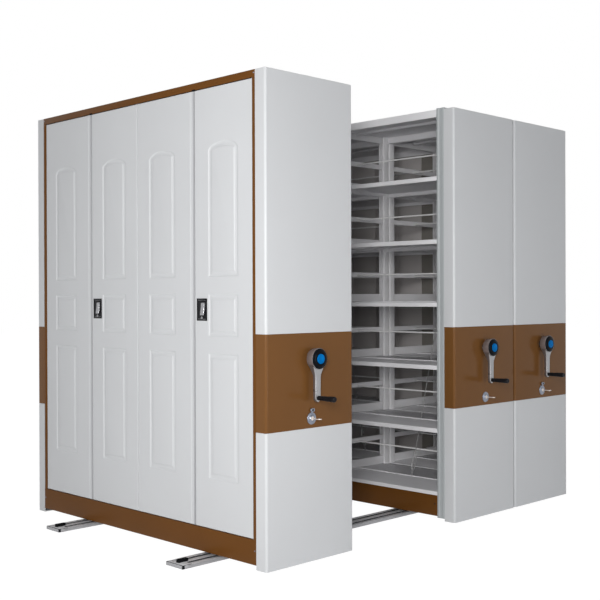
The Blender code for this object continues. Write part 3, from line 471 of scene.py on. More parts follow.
def mesh_of(name, s, materials):
    """The finished mesh of s, whose faces' material numbers count through materials."""
    bmesh.ops.recalc_face_normals(s, faces=s.faces)
    mesh = bpy.data.meshes.new(name)
    s.to_mesh(mesh)
    s.free()
    for material in materials:
        mesh.materials.append(material)
    mesh.set_sharp_from_angle(angle=SMOOTH_ANGLE)
    return mesh


def placed(name, data, at=(0, 0, 0)):
    """A new object in the scene."""
    thing = bpy.data.objects.new(name, data)
    thing.location = at
    bpy.context.scene.collection.objects.link(thing)
    return thing


def show(name, mesh, body, at=(0, 0, 0), stands_for=()):
    """Sets a piece in place on a body."""
    thing = placed(name, mesh, at)
    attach(thing, body)
    if stands_for:
        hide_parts(*stands_for)


def combined(mesh, other, operation):
    """One mesh from two, by a Boolean."""
    things = [placed("tool", each) for each in (mesh, other)]
    change = things[0].modifiers.new("change", "BOOLEAN")
    change.operation = operation
    change.solver = "EXACT"
    change.object = things[1]
    now = bpy.context.evaluated_depsgraph_get()
    made = bpy.data.meshes.new_from_object(things[0].evaluated_get(now))
    for thing in things:
        bpy.data.objects.remove(thing)
    made.set_sharp_from_angle(angle=SMOOTH_ANGLE)
    return made


def screw(s, at, radius, facing, material):
    """A domed screw head that stands off a face looking along X or, with facing -1, against it."""
    dome = ((1, 0), (0.92, 0.22), (0.6, 0.42), (0.22, 0.45))
    lathe(s, [(radius * r, facing * radius * h) for r, h in dome], 16, at, "x", material)


def fill(s, rings, flat):
    """Fills a face between rings of vertices, given which two coordinates lie in it."""
    points = [v for ring in rings for v in ring]
    for corners in tessellate_polygon([[Vector((v.co[flat[0]], v.co[flat[1]], 0)) for v in ring] for ring in rings]):
        s.faces.new([points[i] for i in corners]).smooth = True


def pierced(s, outer, hole, low, high):
    """A flat plate in x and y with one hole, from z = low to z = high."""
    layers = []
    for z in (low, high):
        layers.append([[s.verts.new((x, y, z)) for x, y in outline] for outline in (outer, hole)])
        fill(s, layers[-1], (0, 1))
    for a, b in zip(*layers):
        for i in range(len(a)):
            s.faces.new((a[i - 1], a[i], b[i], b[i - 1])).smooth = True


def panel_plan(inset, back):
    """A panel's plan from its back corners, drawn in by inset, with round front corners."""
    radius = PANEL_CORNER - inset
    right = arc((WIDTH - PANEL_CORNER, PANEL_CORNER), radius, 0, -math.pi / 2, CORNER_STEPS)
    left = arc((PANEL_CORNER, PANEL_CORNER), radius, -math.pi / 2, -math.pi, CORNER_STEPS)
    return [(WIDTH - inset, back), *right, *left, (inset, back)]


def panel_mesh():
    """The tray of an end panel, with its recess for the band, open at y = PANEL_DEPTH."""
    s = bmesh.new()
    edge = 0.0016
    loops = []
    for inset, height in (
        (edge, PANEL_BOTTOM), (edge / 4, PANEL_BOTTOM + edge / 4), (0, PANEL_BOTTOM + edge),
        (0, BAND_BOTTOM - edge / 2), (edge / 2, BAND_BOTTOM), (BAND_RECESS, BAND_BOTTOM), (BAND_RECESS, BAND_TOP),
        (edge / 2, BAND_TOP), (0, BAND_TOP + edge / 2), (0, PANEL_TOP - edge), (edge / 4, PANEL_TOP - edge / 4),
        (edge, PANEL_TOP),
    ):
        loops.append([(x, y, height) for x, y in panel_plan(inset, PANEL_DEPTH)])
    loft(s, loops)
    outer = mesh_of("panel", s, [WHITE])
    s = bmesh.new()
    inside = panel_plan(PANEL_WALL, PANEL_DEPTH + PANEL_WALL)
    prism(s, inside, "z", PANEL_BOTTOM + PANEL_WALL, PANEL_TOP - PANEL_WALL)
    return combined(outer, mesh_of("inside", s, []), "DIFFERENCE")


def band_mesh():
    """The coloured band, folded round the panel's recess."""
    s = bmesh.new()
    low, high = BAND_BOTTOM + SEAT_GAP, BAND_TOP - SEAT_GAP
    edge = 0.0005
    inner = panel_plan(BAND_SHEET, PANEL_DEPTH)
    loops = []
    for inset, height in ((edge, low), (0, low + edge), (0, high - edge), (edge, high)):
        outline = panel_plan(inset, PANEL_DEPTH) + inner[::-1]
        loops.append([(x, y, height) for x, y in outline])
    loft(s, loops)
    return mesh_of("band", s, [BROWN])


def turned_round(mesh, name):
    """The same mesh for the far end, turned half a turn about the carriage's middle."""
    made = mesh.copy()
    made.name = name
    made.transform(Matrix.Translation((WIDTH, LENGTH, 0)) @ Matrix.Rotation(math.pi, 4, "Z"))
    return made


def build_panels():
    """The end panels of both ends, with their bands."""
    panel, band = panel_mesh(), band_mesh()
    far_panel, far_band = turned_round(panel, "far panel"), turned_round(band, "far band")
    for side in SIDES:
        at = (SIDE_AT[side], NEAR_FACE, 0)
        body = f"{side}_carriage"
        show(f"{side}_panel_shell", panel, body, at, [f"{side}_end_panel"])
        show(f"{side}_band_sheet", band, body, at, [f"{side}_panel_band"])
        show(f"{side}_far_panel_shell", far_panel, body, at, [f"{side}_far_end_panel"])
        show(f"{side}_far_band_sheet", far_band, body, at)


def rail_body_mesh(length):
    """A rail between its end fittings: two flanges and a bar, with a groove to each side of it."""
    half = RAIL_WIDTH / 2
    groove = half - RAIL_FLANGE
    bar = RAIL_BAR / 2
    top = RAIL_HEIGHT
    outline = rounded((
        (-half, 0), (half, 0), (half, top), (groove, top), (groove, RAIL_FLOOR), (bar, RAIL_FLOOR),
        (bar, top), (-bar, top), (-bar, RAIL_FLOOR), (-groove, RAIL_FLOOR), (-groove, top), (-half, top),
    ), 0.0014)
    s = bmesh.new()
    inner = length / 2 - CAP_PLATE
    prism(s, outline, "x", -inner, inner)
    for face in s.faces:
        place = face.calc_center_median()
        # Groove faces take the near black of painted shade.
        if abs(place.y) < groove + 0.0005 and place.z < top - 0.0008 and len(face.verts) == 4:
            face.material_index = 1
        # Top faces take the lighter copy: painted light.
        elif place.z > top - 0.0008:
            face.material_index = 2
    return mesh_of("rail", s, [ZINC, GROOVE_SHADE, LIT_RAIL_TOP])


def rail_end_mesh(length, side):
    """The end fitting of a rail: a black core between folded plates, with its rubber stop."""
    s = bmesh.new()
    half = RAIL_WIDTH / 2
    end, inner = length / 2, length / 2 - CAP_PLATE
    skin = 0.0015
    seam = 0.0065
    corner = 0.013

    def along(a, b):
        """Two places along the rail, in order."""
        return sorted((side * a, side * b))

    core = rounded(oblong((inner, end - skin), (-half + skin, half - skin)), 0.002)
    softened(s, 0.0008, prism, [(side * x, y) for x, y in core], "z", 0, RAIL_HEIGHT - skin / 2, material=1)
    # The top plate of the end fitting takes the rails' lighter top too: painted light.
    softened(s, 0.0006, box, along(inner, end - seam), (-half + seam, half - seam),
             (RAIL_HEIGHT - 2 * skin, RAIL_HEIGHT), material=3)
    softened(s, 0.0006, box, along(end - 2 * skin, end), (-half + corner / 2, half - 0.003),
             (skin, RAIL_HEIGHT - skin))
    for edge, start in ((-1, corner), (1, 0.003)):
        softened(s, 0.0006, box, along(inner, end - start), sorted((edge * half, edge * (half - 2 * skin))),
                 (skin, RAIL_HEIGHT - skin))
    stop = length / 2 - STOP_START
    softened(s, 0.003, box, along(stop - STOP_LENGTH, stop), about(0, STOP_WIDTH),
             (RAIL_HEIGHT - skin / 2, RAIL_HEIGHT + STOP_HEIGHT), material=2, segments=3)
    return mesh_of("rail end", s, [ZINC, BLACK, RUBBER, LIT_RAIL_TOP])


def build_rails():
    """Both rails with their end fittings."""
    low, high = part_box("near_rail")
    length = high.x - low.x
    body = rail_body_mesh(length)
    ends = {name: rail_end_mesh(length, side) for name, side in (("left", -1), ("right", 1))}
    for rail in ("near_rail", "far_rail"):
        low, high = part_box(rail)
        at = (0, (low.y + high.y) / 2, 0)
        show(f"{rail}_section", body, "rails", at, [rail])
        for name, mesh in ends.items():
            show(f"{rail}_{name}_end", mesh, "rails", at)


def arm_rings():
    """Level rings down the crank's arm, from inside the drum to the round end."""
    places = []
    lean = 0.45
    root = (-HEAD_RADIUS * math.sin(lean), HEAD_RADIUS * math.cos(lean) - 0.001)
    for i in range(9):
        share = i / 8
        fall = 1 - (1 - share) ** 1.45
        places.append((root[0] + (NECK_END - root[0]) * share, root[1] + (ARM_HALF - root[1]) * fall))
    for i in range(1, 7):
        share = i / 6
        places.append((NECK_END + (-ARM_LENGTH - NECK_END) * share, ARM_HALF + (ARM_TIP_HALF - ARM_HALF) * share))
    for i in range(1, 8):
        turn = math.pi / 2 * i / 7.5
        places.append((-ARM_LENGTH - ARM_TIP_HALF * math.sin(turn), ARM_TIP_HALF * math.cos(turn)))
    rings = []
    for z, half in places:
        share = min(1.0, max(0.0, (root[0] - z) / (root[0] - NECK_END)))
        ease = share * share * (3 - 2 * share)
        front = HEAD_FRONT + 0.003 + (ARM_FRONT - HEAD_FRONT - 0.003) * ease
        back = HEAD_BACK - 0.003 + (ARM_BACK - HEAD_BACK + 0.003) * ease
        radius = min(0.005, half * 0.8)
        rings.append([(x, y, z) for x, y in rounded(oblong((-half, half), (front, back)), radius, 5)])
    return rings


def crank_body_mesh():
    """The cast crank: a drum, from which the arm runs down and tapers to a round end."""
    r, back, front = HEAD_RADIUS, HEAD_BACK, HEAD_FRONT
    drum = turned("drum", ARM_CHROME, 96, (
        (r - 0.006, back), (r - 0.0028, back - 0.0005), (r - 0.0012, back - 0.0025), (r - 0.0003, back - 0.020),
        (r, front + 0.0025), (r - 0.0006, front + 0.0006), (r - 0.0022, front),
    ))
    s = bmesh.new()
    loft(s, arm_rings())
    arm = mesh_of("arm", s, [ARM_CHROME])
    s = bmesh.new()
    s.from_mesh(combined(drum, arm, "UNION"))
    for face in s.faces:
        place = face.calc_center_median()
        # The drum's round side takes the dark brown of the painted reflection.
        if math.hypot(place.x, place.z) > r - 0.004 and place.z > NECK_END / 3:
            face.material_index = 1
        # Faces that don't look to the front take the dark copy: painted dark reflection on the arm's sides and back.
        elif face.normal.y > -0.6:
            face.material_index = 2
    lathe(s, ((0.014, 0.010), (0.014, back - 0.001)), 32)
    lathe(s, ((ARM_TIP_HALF - 0.0055, ARM_FRONT + 0.001), (ARM_TIP_HALF - 0.0055, ARM_FRONT - 0.0001),
              (GRIP_ROOT + 0.0012, ARM_FRONT - 0.0002)), 32, (0, 0, -ARM_LENGTH))
    lathe(s, ((0.0075, ARM_BACK - 0.001), (0.0075, ARM_BACK + 0.003), (0.006, ARM_BACK + 0.0045),
              (0.001, ARM_BACK + 0.005)), 24, (0, 0, -ARM_LENGTH))
    return mesh_of("crank body", s, [ARM_CHROME, DRUM_BAND_REFLECTION, ARM_SIDE_DARK_REFLECTION])


def crank_cap_mesh():
    """The black cap: a low dome that falls away from the button to the drum's edge."""
    inner = BUTTON_RADIUS + 0.0006
    fall = (CAP_RADIUS - inner - CAP_LIP) / 2
    dome = []
    for i in range(1, 11):
        turn = math.pi / 2 * i / 10
        dome.append((CAP_RADIUS - fall * (math.sin(turn) ** 2 + 1 - math.cos(turn)),
                     HEAD_FRONT + (CAP_FACE - HEAD_FRONT) * math.sin(turn)))
    floor = HEAD_FRONT + CAP_DEPTH
    return turned("crank cap", GLOSS_BLACK, 96, (
        (inner, floor), (CAP_RADIUS - 0.004, HEAD_FRONT + 0.001), (CAP_RADIUS - 0.0004, HEAD_FRONT), *dome,
        (inner + 0.0012, CAP_FACE + 0.0002), (inner, CAP_FACE + 0.0012), (inner, floor - 0.001),
    ))


def button_mesh():
    """The blue centre of the cap, with a soft edge."""
    r, face = BUTTON_RADIUS, BUTTON_FACE
    return turned("button", BLUE, 64, (
        (r, HEAD_FRONT + 0.002), (r, face + 0.002), (r - 0.0005, face + 0.0008), (r - 0.002, face + 0.0002),
        (r - 0.004, face), (r * 0.6, face + 0.0004), (r * 0.05, face + 0.0008),
    ))


def grip_mesh():
    """The loose grip: a slim sleeve that swells towards its end."""
    start = ARM_FRONT - SEAT_GAP
    shape = ((0.0102, 0.0), (GRIP_ROOT, 0.02), (GRIP_ROOT, 0.13), (0.0103, 0.16), (0.0103, 0.20),
             (0.0110, 0.24), (0.0115, 0.45), (0.0124, 0.68), (0.0133, 0.85), (0.0135, 0.93),
             (0.0128, 0.975), (0.0112, 0.995), (0.0090, 1.0), (0.0070, 0.997), (0.0066, 0.985), (0.0010, 0.985))
    return turned("grip", BLACK, 48, [(r, start - GRIP_LENGTH * share) for r, share in shape])


def collar_mesh():
    """The bearing collar between the band and the crank's head."""
    r, face = COLLAR_RADIUS, HEAD_BACK + 0.0006
    return turned("collar", CHROME, 64, (
        (r + 0.006, 0.0005), (r + 0.006, -0.0022), (r + 0.005, -0.0032), (r, -0.004), (r, face + 0.001),
        (r - 0.001, face), (0.0145, face), (0.0145, 0.0005),
    ))


def rosette_mesh(covered):
    """The lock's round plate, with a turned-up dust cover on those that show one."""
    s = bmesh.new()
    r, face = ROSETTE_RADIUS, ROSETTE_FACE
    lathe(s, ((r, 0.0005), (r, -0.0030), (r - 0.0012, -0.0044), (r - 0.0055, -0.0056), (r - 0.0070, -0.0050),
              (r - 0.0088, -0.0050), (0.0170, -0.0070), (0.0160, face + 0.0008), (0.0150, face),
              (0.0112, face), (0.0106, face + 0.0016), (0.0106, 0.0005)), 72)
    for turn in (0.25, 0.75, 1.25, 1.75):
        x, z = (0.0222 * math.cos(turn * math.pi), 0.0222 * math.sin(turn * math.pi))
        lathe(s, ((0.0019, -0.0045), (0.0019, -0.0060), (0.0012, -0.0064), (0.0003, -0.0064)), 12, (x, 0, z), "y", 1)
    if covered:
        low, high = r + 0.0030, r + 0.0190
        tab = rounded(oblong((-0.013, 0.013), (low, high)), 0.0065, 6)
        softened(s, 0.0015, prism, tab, "y", -0.0115, -0.0040)
        softened(s, 0.0008, box, (-0.0050, 0.0050), (-0.0068, -0.0040), (r - 0.006, low + 0.004))
        lathe(s, ((0.0048, -0.0105), (0.0048, -0.0122), (0.0040, -0.0128), (0.0005, -0.0128)), 24,
              (0, 0, (low + high) / 2), "y", 2)
        for x in (-0.0092, 0.0092):
            lathe(s, ((0.0014, -0.0110), (0.0014, -0.0118), (0.0008, -0.0121), (0.0002, -0.0121)), 10,
                  (x, 0, (low + high) / 2), "y", 1)
    return mesh_of("rosette", s, [GALVANISED, STEEL, BLACK])


def key_mesh():
    """Plug, key blade and bow, about the plug's axis: the key lies level when it is at rest."""
    s = bmesh.new()
    face = ROSETTE_FACE
    half = KEY_SHEET / 2
    root = face - BLADE_LENGTH
    end = root - BOW_LENGTH
    wide = BOW_WIDTH / 2
    lathe(s, ((0.010, 0.010), (0.010, face + 0.0006), (0.0092, face), (0.0003, face)), 40)
    blade = ((-0.0045, face + 0.004), (-0.0045, root - 0.001), (0.0045, root - 0.001), (0.0045, face + 0.004))
    softened(s, 0.0004, prism, blade, "z", -half, half)
    bow = rounded(((-0.0055, root), (-wide, root - 0.008), (-wide, end + 0.007), (-0.0055, end), (0.0055, end),
                   (wide, end + 0.007), (wide, root - 0.008), (0.0055, root)), 0.003, 4)
    pierced(s, bow, circle(0.0042, 24, (0, end + 0.0085)), -half, half)
    return mesh_of("key", s, [KEY_METAL])


def build_controls():
    """Crank, grip, button, collar, lock rosette and key of every carriage."""
    casting, cap, collar = crank_body_mesh(), crank_cap_mesh(), collar_mesh()
    button, grip, key = button_mesh(), grip_mesh(), key_mesh()
    rosettes = {covered: rosette_mesh(covered) for covered in (True, False)}
    for side in SIDES:
        x, y = SIDE_AT[side] + CENTRE, NEAR_FACE
        axis, lock, pin = (x, y, CRANK_HEIGHT), (x, y, LOCK_HEIGHT), (x, y, CRANK_HEIGHT - ARM_LENGTH)
        carriage, crank = f"{side}_carriage", f"{side}_crank"
        show(f"{side}_crank_casting", casting, crank, axis, [crank])
        show(f"{side}_crank_cap", cap, crank, axis)
        show(f"{side}_button_disc", button, f"{crank}_button", axis, [f"{crank}_button"])
        show(f"{side}_grip_sleeve", grip, f"{crank}_grip", pin, [f"{crank}_grip"])
        show(f"{side}_crank_collar", collar, carriage, axis)
        show(f"{side}_lock_rosette", rosettes[side != "middle"], carriage, lock)
        show(f"{side}_key", key, f"{side}_lock_key", lock, [f"{side}_lock_key"])


def shelf_mesh(front, back):
    """One level of four folded shelf panels with a strap under them, about its top face."""
    s = bmesh.new()
    near_x, far_x = front + SHELF_SETBACK, WIDTH - back - SHELF_SETBACK
    middle = (near_x + far_x) / 2
    first = FRAME_START + END_UPRIGHT + SEAT_GAP
    inner = MIDDLE - CENTRE_UPRIGHT / 2 - SEAT_GAP
    sheet = SHELF_SHEET
    for edge, inwards in ((near_x, 1), (far_x, -1)):
        seam = middle - inwards * SHELF_SEAM / 2
        path = [
            (edge + inwards * 0.013, 0.006 - SHELF_LIP), (edge + inwards * 0.013, -SHELF_LIP), (edge, -SHELF_LIP),
            (edge, 0), (seam, 0), (seam, SHELF_UPTURN), (seam - inwards * 0.006, SHELF_UPTURN),
        ]
        outline = folded(path[::-inwards], sheet, 0.0012)
        for start, end in ((first, inner), (LENGTH - inner, LENGTH - first)):
            prism(s, outline, "y", start, end)
            for y, towards in ((start, 1), (end, -1)):
                side_flange = sorted((y, y + towards * sheet))
                x = sorted((edge + inwards * 0.003, seam - inwards * 0.003))
                box(s, x, side_flange, (-0.018, -sheet / 2))
    softened(s, 0.0008, box, about(middle, STRAP_WIDTH), about(MIDDLE, CENTRE_UPRIGHT + STRAP_REACH),
             (-0.006, -0.0014))
    return mesh_of("shelf", s, [LIT_INNER_WHITE])


def upright_outline(x, inwards, y, width):
    """A folded upright with a shallow groove down its face."""
    half = width / 2
    groove, slope, deep = width * 0.16, 0.003, 0.0028
    lip = 0.010
    path = [
        (UPRIGHT_DEPTH, -half + lip), (UPRIGHT_DEPTH, -half), (0, -half), (0, -groove - slope), (deep, -groove),
        (deep, groove), (0, groove + slope), (0, half), (UPRIGHT_DEPTH, half), (UPRIGHT_DEPTH, half - lip),
    ]
    points = [(x + inwards * a, y + inwards * b) for a, b in path]
    return folded(points[::-1], 0.002, 0.0012)


def ladder(s, near_x, far_x, y, width, foot, coat):
    """Two uprights with the rungs, the shelf hangers and the header between them."""
    for x, inwards in ((near_x, 1), (far_x, -1)):
        prism(s, upright_outline(x, inwards, y, width), "z", foot, UPRIGHT_TOP, coat)
    span = (near_x + 0.003, far_x - 0.003)
    plates = [(top + SEAT_GAP, top + SEAT_GAP + HANGER_HEIGHT) for top in SHELF_TOPS]
    plates += [about(top + RUNG_RISE, RUNG_HEIGHT) for top in SHELF_TOPS]
    plates.append((TOP_TOP - TOP_LIP, TOP_TOP - 0.002))
    half = 0.0015
    for low, high in plates:
        path = [(y + 0.009, high), (y - half, high), (y - half, low), (y + 0.009, low)]
        prism(s, folded(path, 0.0014, 0.001), "x", *span)


def deck_and_top(s, near_x, far_x):
    """The bottom deck and the top, each a folded tray with a seam down its middle."""
    middle = (near_x + far_x) / 2
    sheet = 0.0015
    inset = 0.00125
    start, end = FRAME_START + END_UPRIGHT + SEAT_GAP, FRAME_END - END_UPRIGHT - SEAT_GAP
    for edge, inwards in ((near_x + inset, 1), (far_x - inset, -1)):
        seam = middle - inwards * 0.0006
        for low, high, turn, reach in (
            (KICK_TOP + SEAT_GAP, DECK_TOP, SHELF_UPTURN, 0.005), (TOP_TOP - TOP_LIP, TOP_TOP, -0.016, 0.008),
        ):
            path = [(edge + inwards * 0.014, low), (edge, low), (edge, high), (seam, high), (seam, high + turn),
                    (seam - inwards * reach, high + turn)]
            prism(s, folded(path[::-inwards], sheet, 0.0012), "y", start, end)


def tie(s, foot, head, material):
    """A diagonal tie rod with an open turnbuckle near its foot and a hook at it."""
    along = (head - foot).normalized()
    across = along.cross(Vector((1, 0, 0))).normalized()
    low, high = (foot + along * place for place in BUCKLE_ENDS)
    tube(s, (foot, low), TIE_RADIUS, 8, material)
    tube(s, (high, head), TIE_RADIUS, 8, material)
    loop = []
    for end, out in ((low, -along), (high, along)):
        side = across if end is high else -across
        for a, b in arc((0, 0), 1, 0, math.pi, 6):
            loop.append(end + out * BUCKLE_BEND * (b - 1) + side * BUCKLE_HALF * a)
        tube(s, (end + out * 0.008, end - out * 0.012), 0.0045, 10, material)
        tube(s, (end - out * 0.012, end - out * 0.026), TIE_RADIUS, 8, material)
    tube(s, loop, BUCKLE_WIRE, 8, material, True)
    hook = [foot + along * (HOOK_RADIUS * a + 0.006) + across * HOOK_RADIUS * b for a, b in circle(1, 18)]
    tube(s, hook, 0.0016, 8, material, True)


def upright_frame_mesh(front, back):
    """Ladders, deck, top, rods and ties of one carriage."""
    s = bmesh.new()
    near_x, far_x = front, WIDTH - back
    middle = (near_x + far_x) / 2
    half = END_UPRIGHT / 2
    near_y, far_y = FRAME_START + half, FRAME_END - half
    # The end ladders' uprights take the darker grey of painted shade, and the centre ones the lighter inner white of
    # painted light.
    ladder(s, near_x, far_x, near_y, END_UPRIGHT, UPRIGHT_BOTTOM, 3)
    ladder(s, near_x, far_x, MIDDLE, CENTRE_UPRIGHT, KICK_TOP + SEAT_GAP, 0)
    ladder(s, near_x, far_x, far_y, END_UPRIGHT, UPRIGHT_BOTTOM, 3)
    deck_and_top(s, near_x, far_x)
    for top in SHELF_TOPS:
        x, z = middle + ROD_OFFSET, top + ROD_RISE
        tube(s, ((x, near_y, z), (x, far_y, z)), ROD_RADIUS, 12, 1)
    for y, foot_y in ((near_y, (near_y + MIDDLE) / 2), (far_y, (far_y + MIDDLE) / 2)):
        tie(s, Vector((middle, foot_y, DECK_TOP)), Vector((middle, y, TOP_TOP - 0.004)), 2)
    return mesh_of("upright frame", s, [LIT_INNER_WHITE, ROD_WHITE, TIE_METAL, SHADED_UPRIGHT_GREY])


def kick(s, face, inwards, start, end):
    """One folded kick plate."""
    path = [(face + inwards * 0.016, KICK_BOTTOM), (face, KICK_BOTTOM), (face, KICK_TOP),
            (face + inwards * KICK_FLANGE, KICK_TOP)]
    prism(s, folded(path[::-inwards], KICK_SHEET, 0.0015), "y", start, end)


def base_mesh(front, back, surround):
    """Kick plates and cross members, with the doors' surround on the left carriage."""
    s = bmesh.new()
    start = FRAME_START + END_UPRIGHT + SEAT_GAP
    end = LENGTH - start
    near_x, far_x = front + KICK_SETBACK, WIDTH - back - KICK_SETBACK
    kick(s, near_x, 1, start, end)
    kick(s, far_x, -1, start, end)
    span = (near_x + 0.001, far_x - 0.001)
    for y in (start, end - MEMBER_SHEET):
        softened(s, 0.0008, box, span, (y, y + MEMBER_SHEET), (KICK_TOP - 0.060, KICK_TOP - 0.001))
    for rail in about(MIDDLE, RAIL_SPACING):
        for side in (-1, 1):
            edge = rail + side * MEMBER_OFFSET
            y = edge + side * MEMBER_SHEET
            softened(s, 0.0008, box, span, sorted((edge, y)), (KICK_BOTTOM + 0.001, KICK_TOP - 0.001))
            for x in (AXLE_INSET, WIDTH - AXLE_INSET):
                lathe(s, ((0.024, side * -0.0005), (0.024, side * 0.004), (0.022, side * 0.006),
                          (0.0135, side * 0.006)), 32, (x, y, AXLE_HEIGHT), "y", 1)
    for y in (start + 0.018, end - 0.018):
        for x, facing in ((far_x, 1), (near_x, -1))[:1 if surround else 2]:
            screw(s, (x, y, 0.110), 0.004, facing, 2)
    if surround:
        add_surround(s)
    return mesh_of("base frame", s, [FRAME_BROWN, STEEL, BLACK, GALVANISED])


def add_surround(s):
    """The brown ring round the doors, with its screws and the pads that the doors close on."""
    depth = SURROUND_DEPTH
    low, high = KICK_TOP - 0.012, PANEL_TOP - SURROUND_TOP
    skirt = [(0.020, KICK_BOTTOM), (0, KICK_BOTTOM), (0, KICK_TOP), (depth, KICK_TOP), (depth, low)]
    prism(s, folded(skirt[::-1], 0.002, 0.0015), "y", FRAME_START, FRAME_END)
    softened(s, 0.0012, box, (0, depth), (FRAME_START, FRAME_END), (high, PANEL_TOP))
    softened(s, 0.0006, box, (DOOR_SETBACK + 0.002, depth), (FRAME_START + 0.001, FRAME_END - 0.001),
             (high - 0.0012, high + 0.001), material=2)
    for y in ((FRAME_START, FRAME_START + SURROUND_SIDE), (FRAME_END - SURROUND_SIDE, FRAME_END)):
        softened(s, 0.0012, box, (0, depth), y, (KICK_TOP - 0.001, high + 0.001))
    for y in (FRAME_START + 0.009, FRAME_END - 0.009):
        for z in (PANEL_TOP - 0.015, KICK_TOP - 0.050):
            screw(s, (0, y, z), 0.0036, -1, 3)


def build_frames():
    """Ladders, chassis and shelves of every carriage."""
    insets = {"left": (DOOR_ZONE, 0), "middle": (0, 0), "right": (0, BACK_ZONE)}
    for side in SIDES:
        front, back = insets[side]
        at = (SIDE_AT[side], NEAR_FACE, 0)
        body = f"{side}_carriage"
        show(f"{side}_ladders", upright_frame_mesh(front, back), body, at, [f"{side}_upright_frame"])
        show(f"{side}_chassis", base_mesh(front, back, side == "left"), body, at,
             [f"{side}_base_frame"])
        shelf = shelf_mesh(front, back)
        for level, top in enumerate(SHELF_TOPS[1:], 1):
            show(f"{side}_level_{level}", shelf, body, (at[0], at[1], top), [f"{side}_shelf_{level}"])


def leaf_rings(low, high, z_low, z_high, face, has_strip):
    """Rings from a leaf's flat front, over its edges and any sunken strip, to its folded back."""
    if has_strip:
        strip = STRIP_WIDTH
        edge = (
            (strip + 0.0040, 0.0040, 0), (strip + 0.0012, 0.0025, 0), (strip + 0.0002, 0.0016, 0.0003),
            (strip - 0.0002, 0.0009, 0.0008), (strip - 0.0004, 0.0004, STRIP_STEP), (GAP_SHADE_WIDTH, 0.0003, STRIP_STEP),
            (0.0022, 0.0003, STRIP_STEP), (0.0006, 0.0001, 0.0019), (0, 0, 0.0030),
        )
    else:
        edge = ((0.0040, 0.0040, 0), (0.0025, 0.0025, 0), (0.0011, 0.0011, 0.0003), (0.0004, 0.0004, 0.0010),
                (0, 0, 0.0025))
    rings = []
    for near, others, depth in (*edge, (0, 0, DOOR_DEPTH), (0.012, 0.012, DOOR_DEPTH), (0.012, 0.012, 0.005),
                                (0.016, 0.016, 0.0045)):
        corners = oblong((low + near, high - others), (z_low + others, z_high - others))
        rings.append([(face + depth, y, z) for y, z in rounded(corners, 0.001, 2)])
    return rings


def field_ring(centre, low, spring, arched, distance):
    """The outline of a pressed field at a distance in from its edge, with as many points at every distance."""
    half = RELIEF_WIDTH / 2 - distance
    radius = max(FIELD_CORNER - distance, 0.0006)
    outline = rounded(oblong((-half, half), (low + distance, spring - distance)), radius, FIELD_STEPS)
    if arched:
        crown = ARCH_RISE - distance
        arch = arc((0, 0), 1, 0, math.pi, ARCH_STEPS)
        outline = outline[:2 * FIELD_STEPS + 2] + [(half * y, spring + crown * z) for y, z in arch]
    return [(centre + y, z) for y, z in outline]


def door_mesh(low, high, z_low, z_high, face, has_strip):
    """A pressed door leaf in (y, z), from its face at x = face to its folded back."""
    s = bmesh.new()
    rings = loft(s, leaf_rings(low, high, z_low, z_high, face, has_strip), caps=(False, True))
    if has_strip:
        # On a leaf with the sunken strip, the faces along the meeting gap take the grey of painted shade.
        for side in s.faces:
            if side.calc_center_median().y < low + GAP_SHADE_WIDTH:
                side.material_index = 2
    centre = (low + (MEETING_STRIP if has_strip else 0) + high) / 2
    height = z_high - z_low
    edges = [rings[0]]
    for shares, arched in ((LOWER_RELIEF_SHARES, False), (MIDDLE_RELIEF_SHARES, False), (UPPER_RELIEF_SHARES, True)):
        field = [z_low + share * height for share in shares]
        steps = [[(face + depth, y, z) for y, z in field_ring(centre, *field, arched, distance)]
                 for distance, depth in MOULDING]
        edges.append(loft(s, steps, caps=(False, True))[0])
    fill(s, edges, (1, 2))
    return s


def build_doors():
    """The four leaves, hung in pairs, with a handle on one of each pair."""
    face = SIDE_AT["left"] + DOOR_SETBACK
    for number in (1, 2, 3, 4):
        body = f"left_door_{number}"
        low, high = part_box(body)
        hinged_low = number in (1, 3)
        z_low, z_high = low.z + PIN_LENGTH, high.z - PIN_LENGTH + DOOR_RISE
        s = door_mesh(low.y, high.y, z_low, z_high, face, not hinged_low)
        pin = (face + HINGE_INSET, low.y + HINGE_INSET if hinged_low else high.y - HINGE_INSET)
        for z, way in ((z_low, -1), (z_high, 1)):
            lathe(s, ((0.003, -way * 0.004), (0.003, way * 0.006), (0.0022, way * 0.0075)), 16, (*pin, z), "z", 1)
        show(f"{body}_leaf", mesh_of("door", s, [WHITE, STEEL, GAP_SHADE]), body, stands_for=[body])
        if hinged_low:
            build_handle(body, high.y, face)


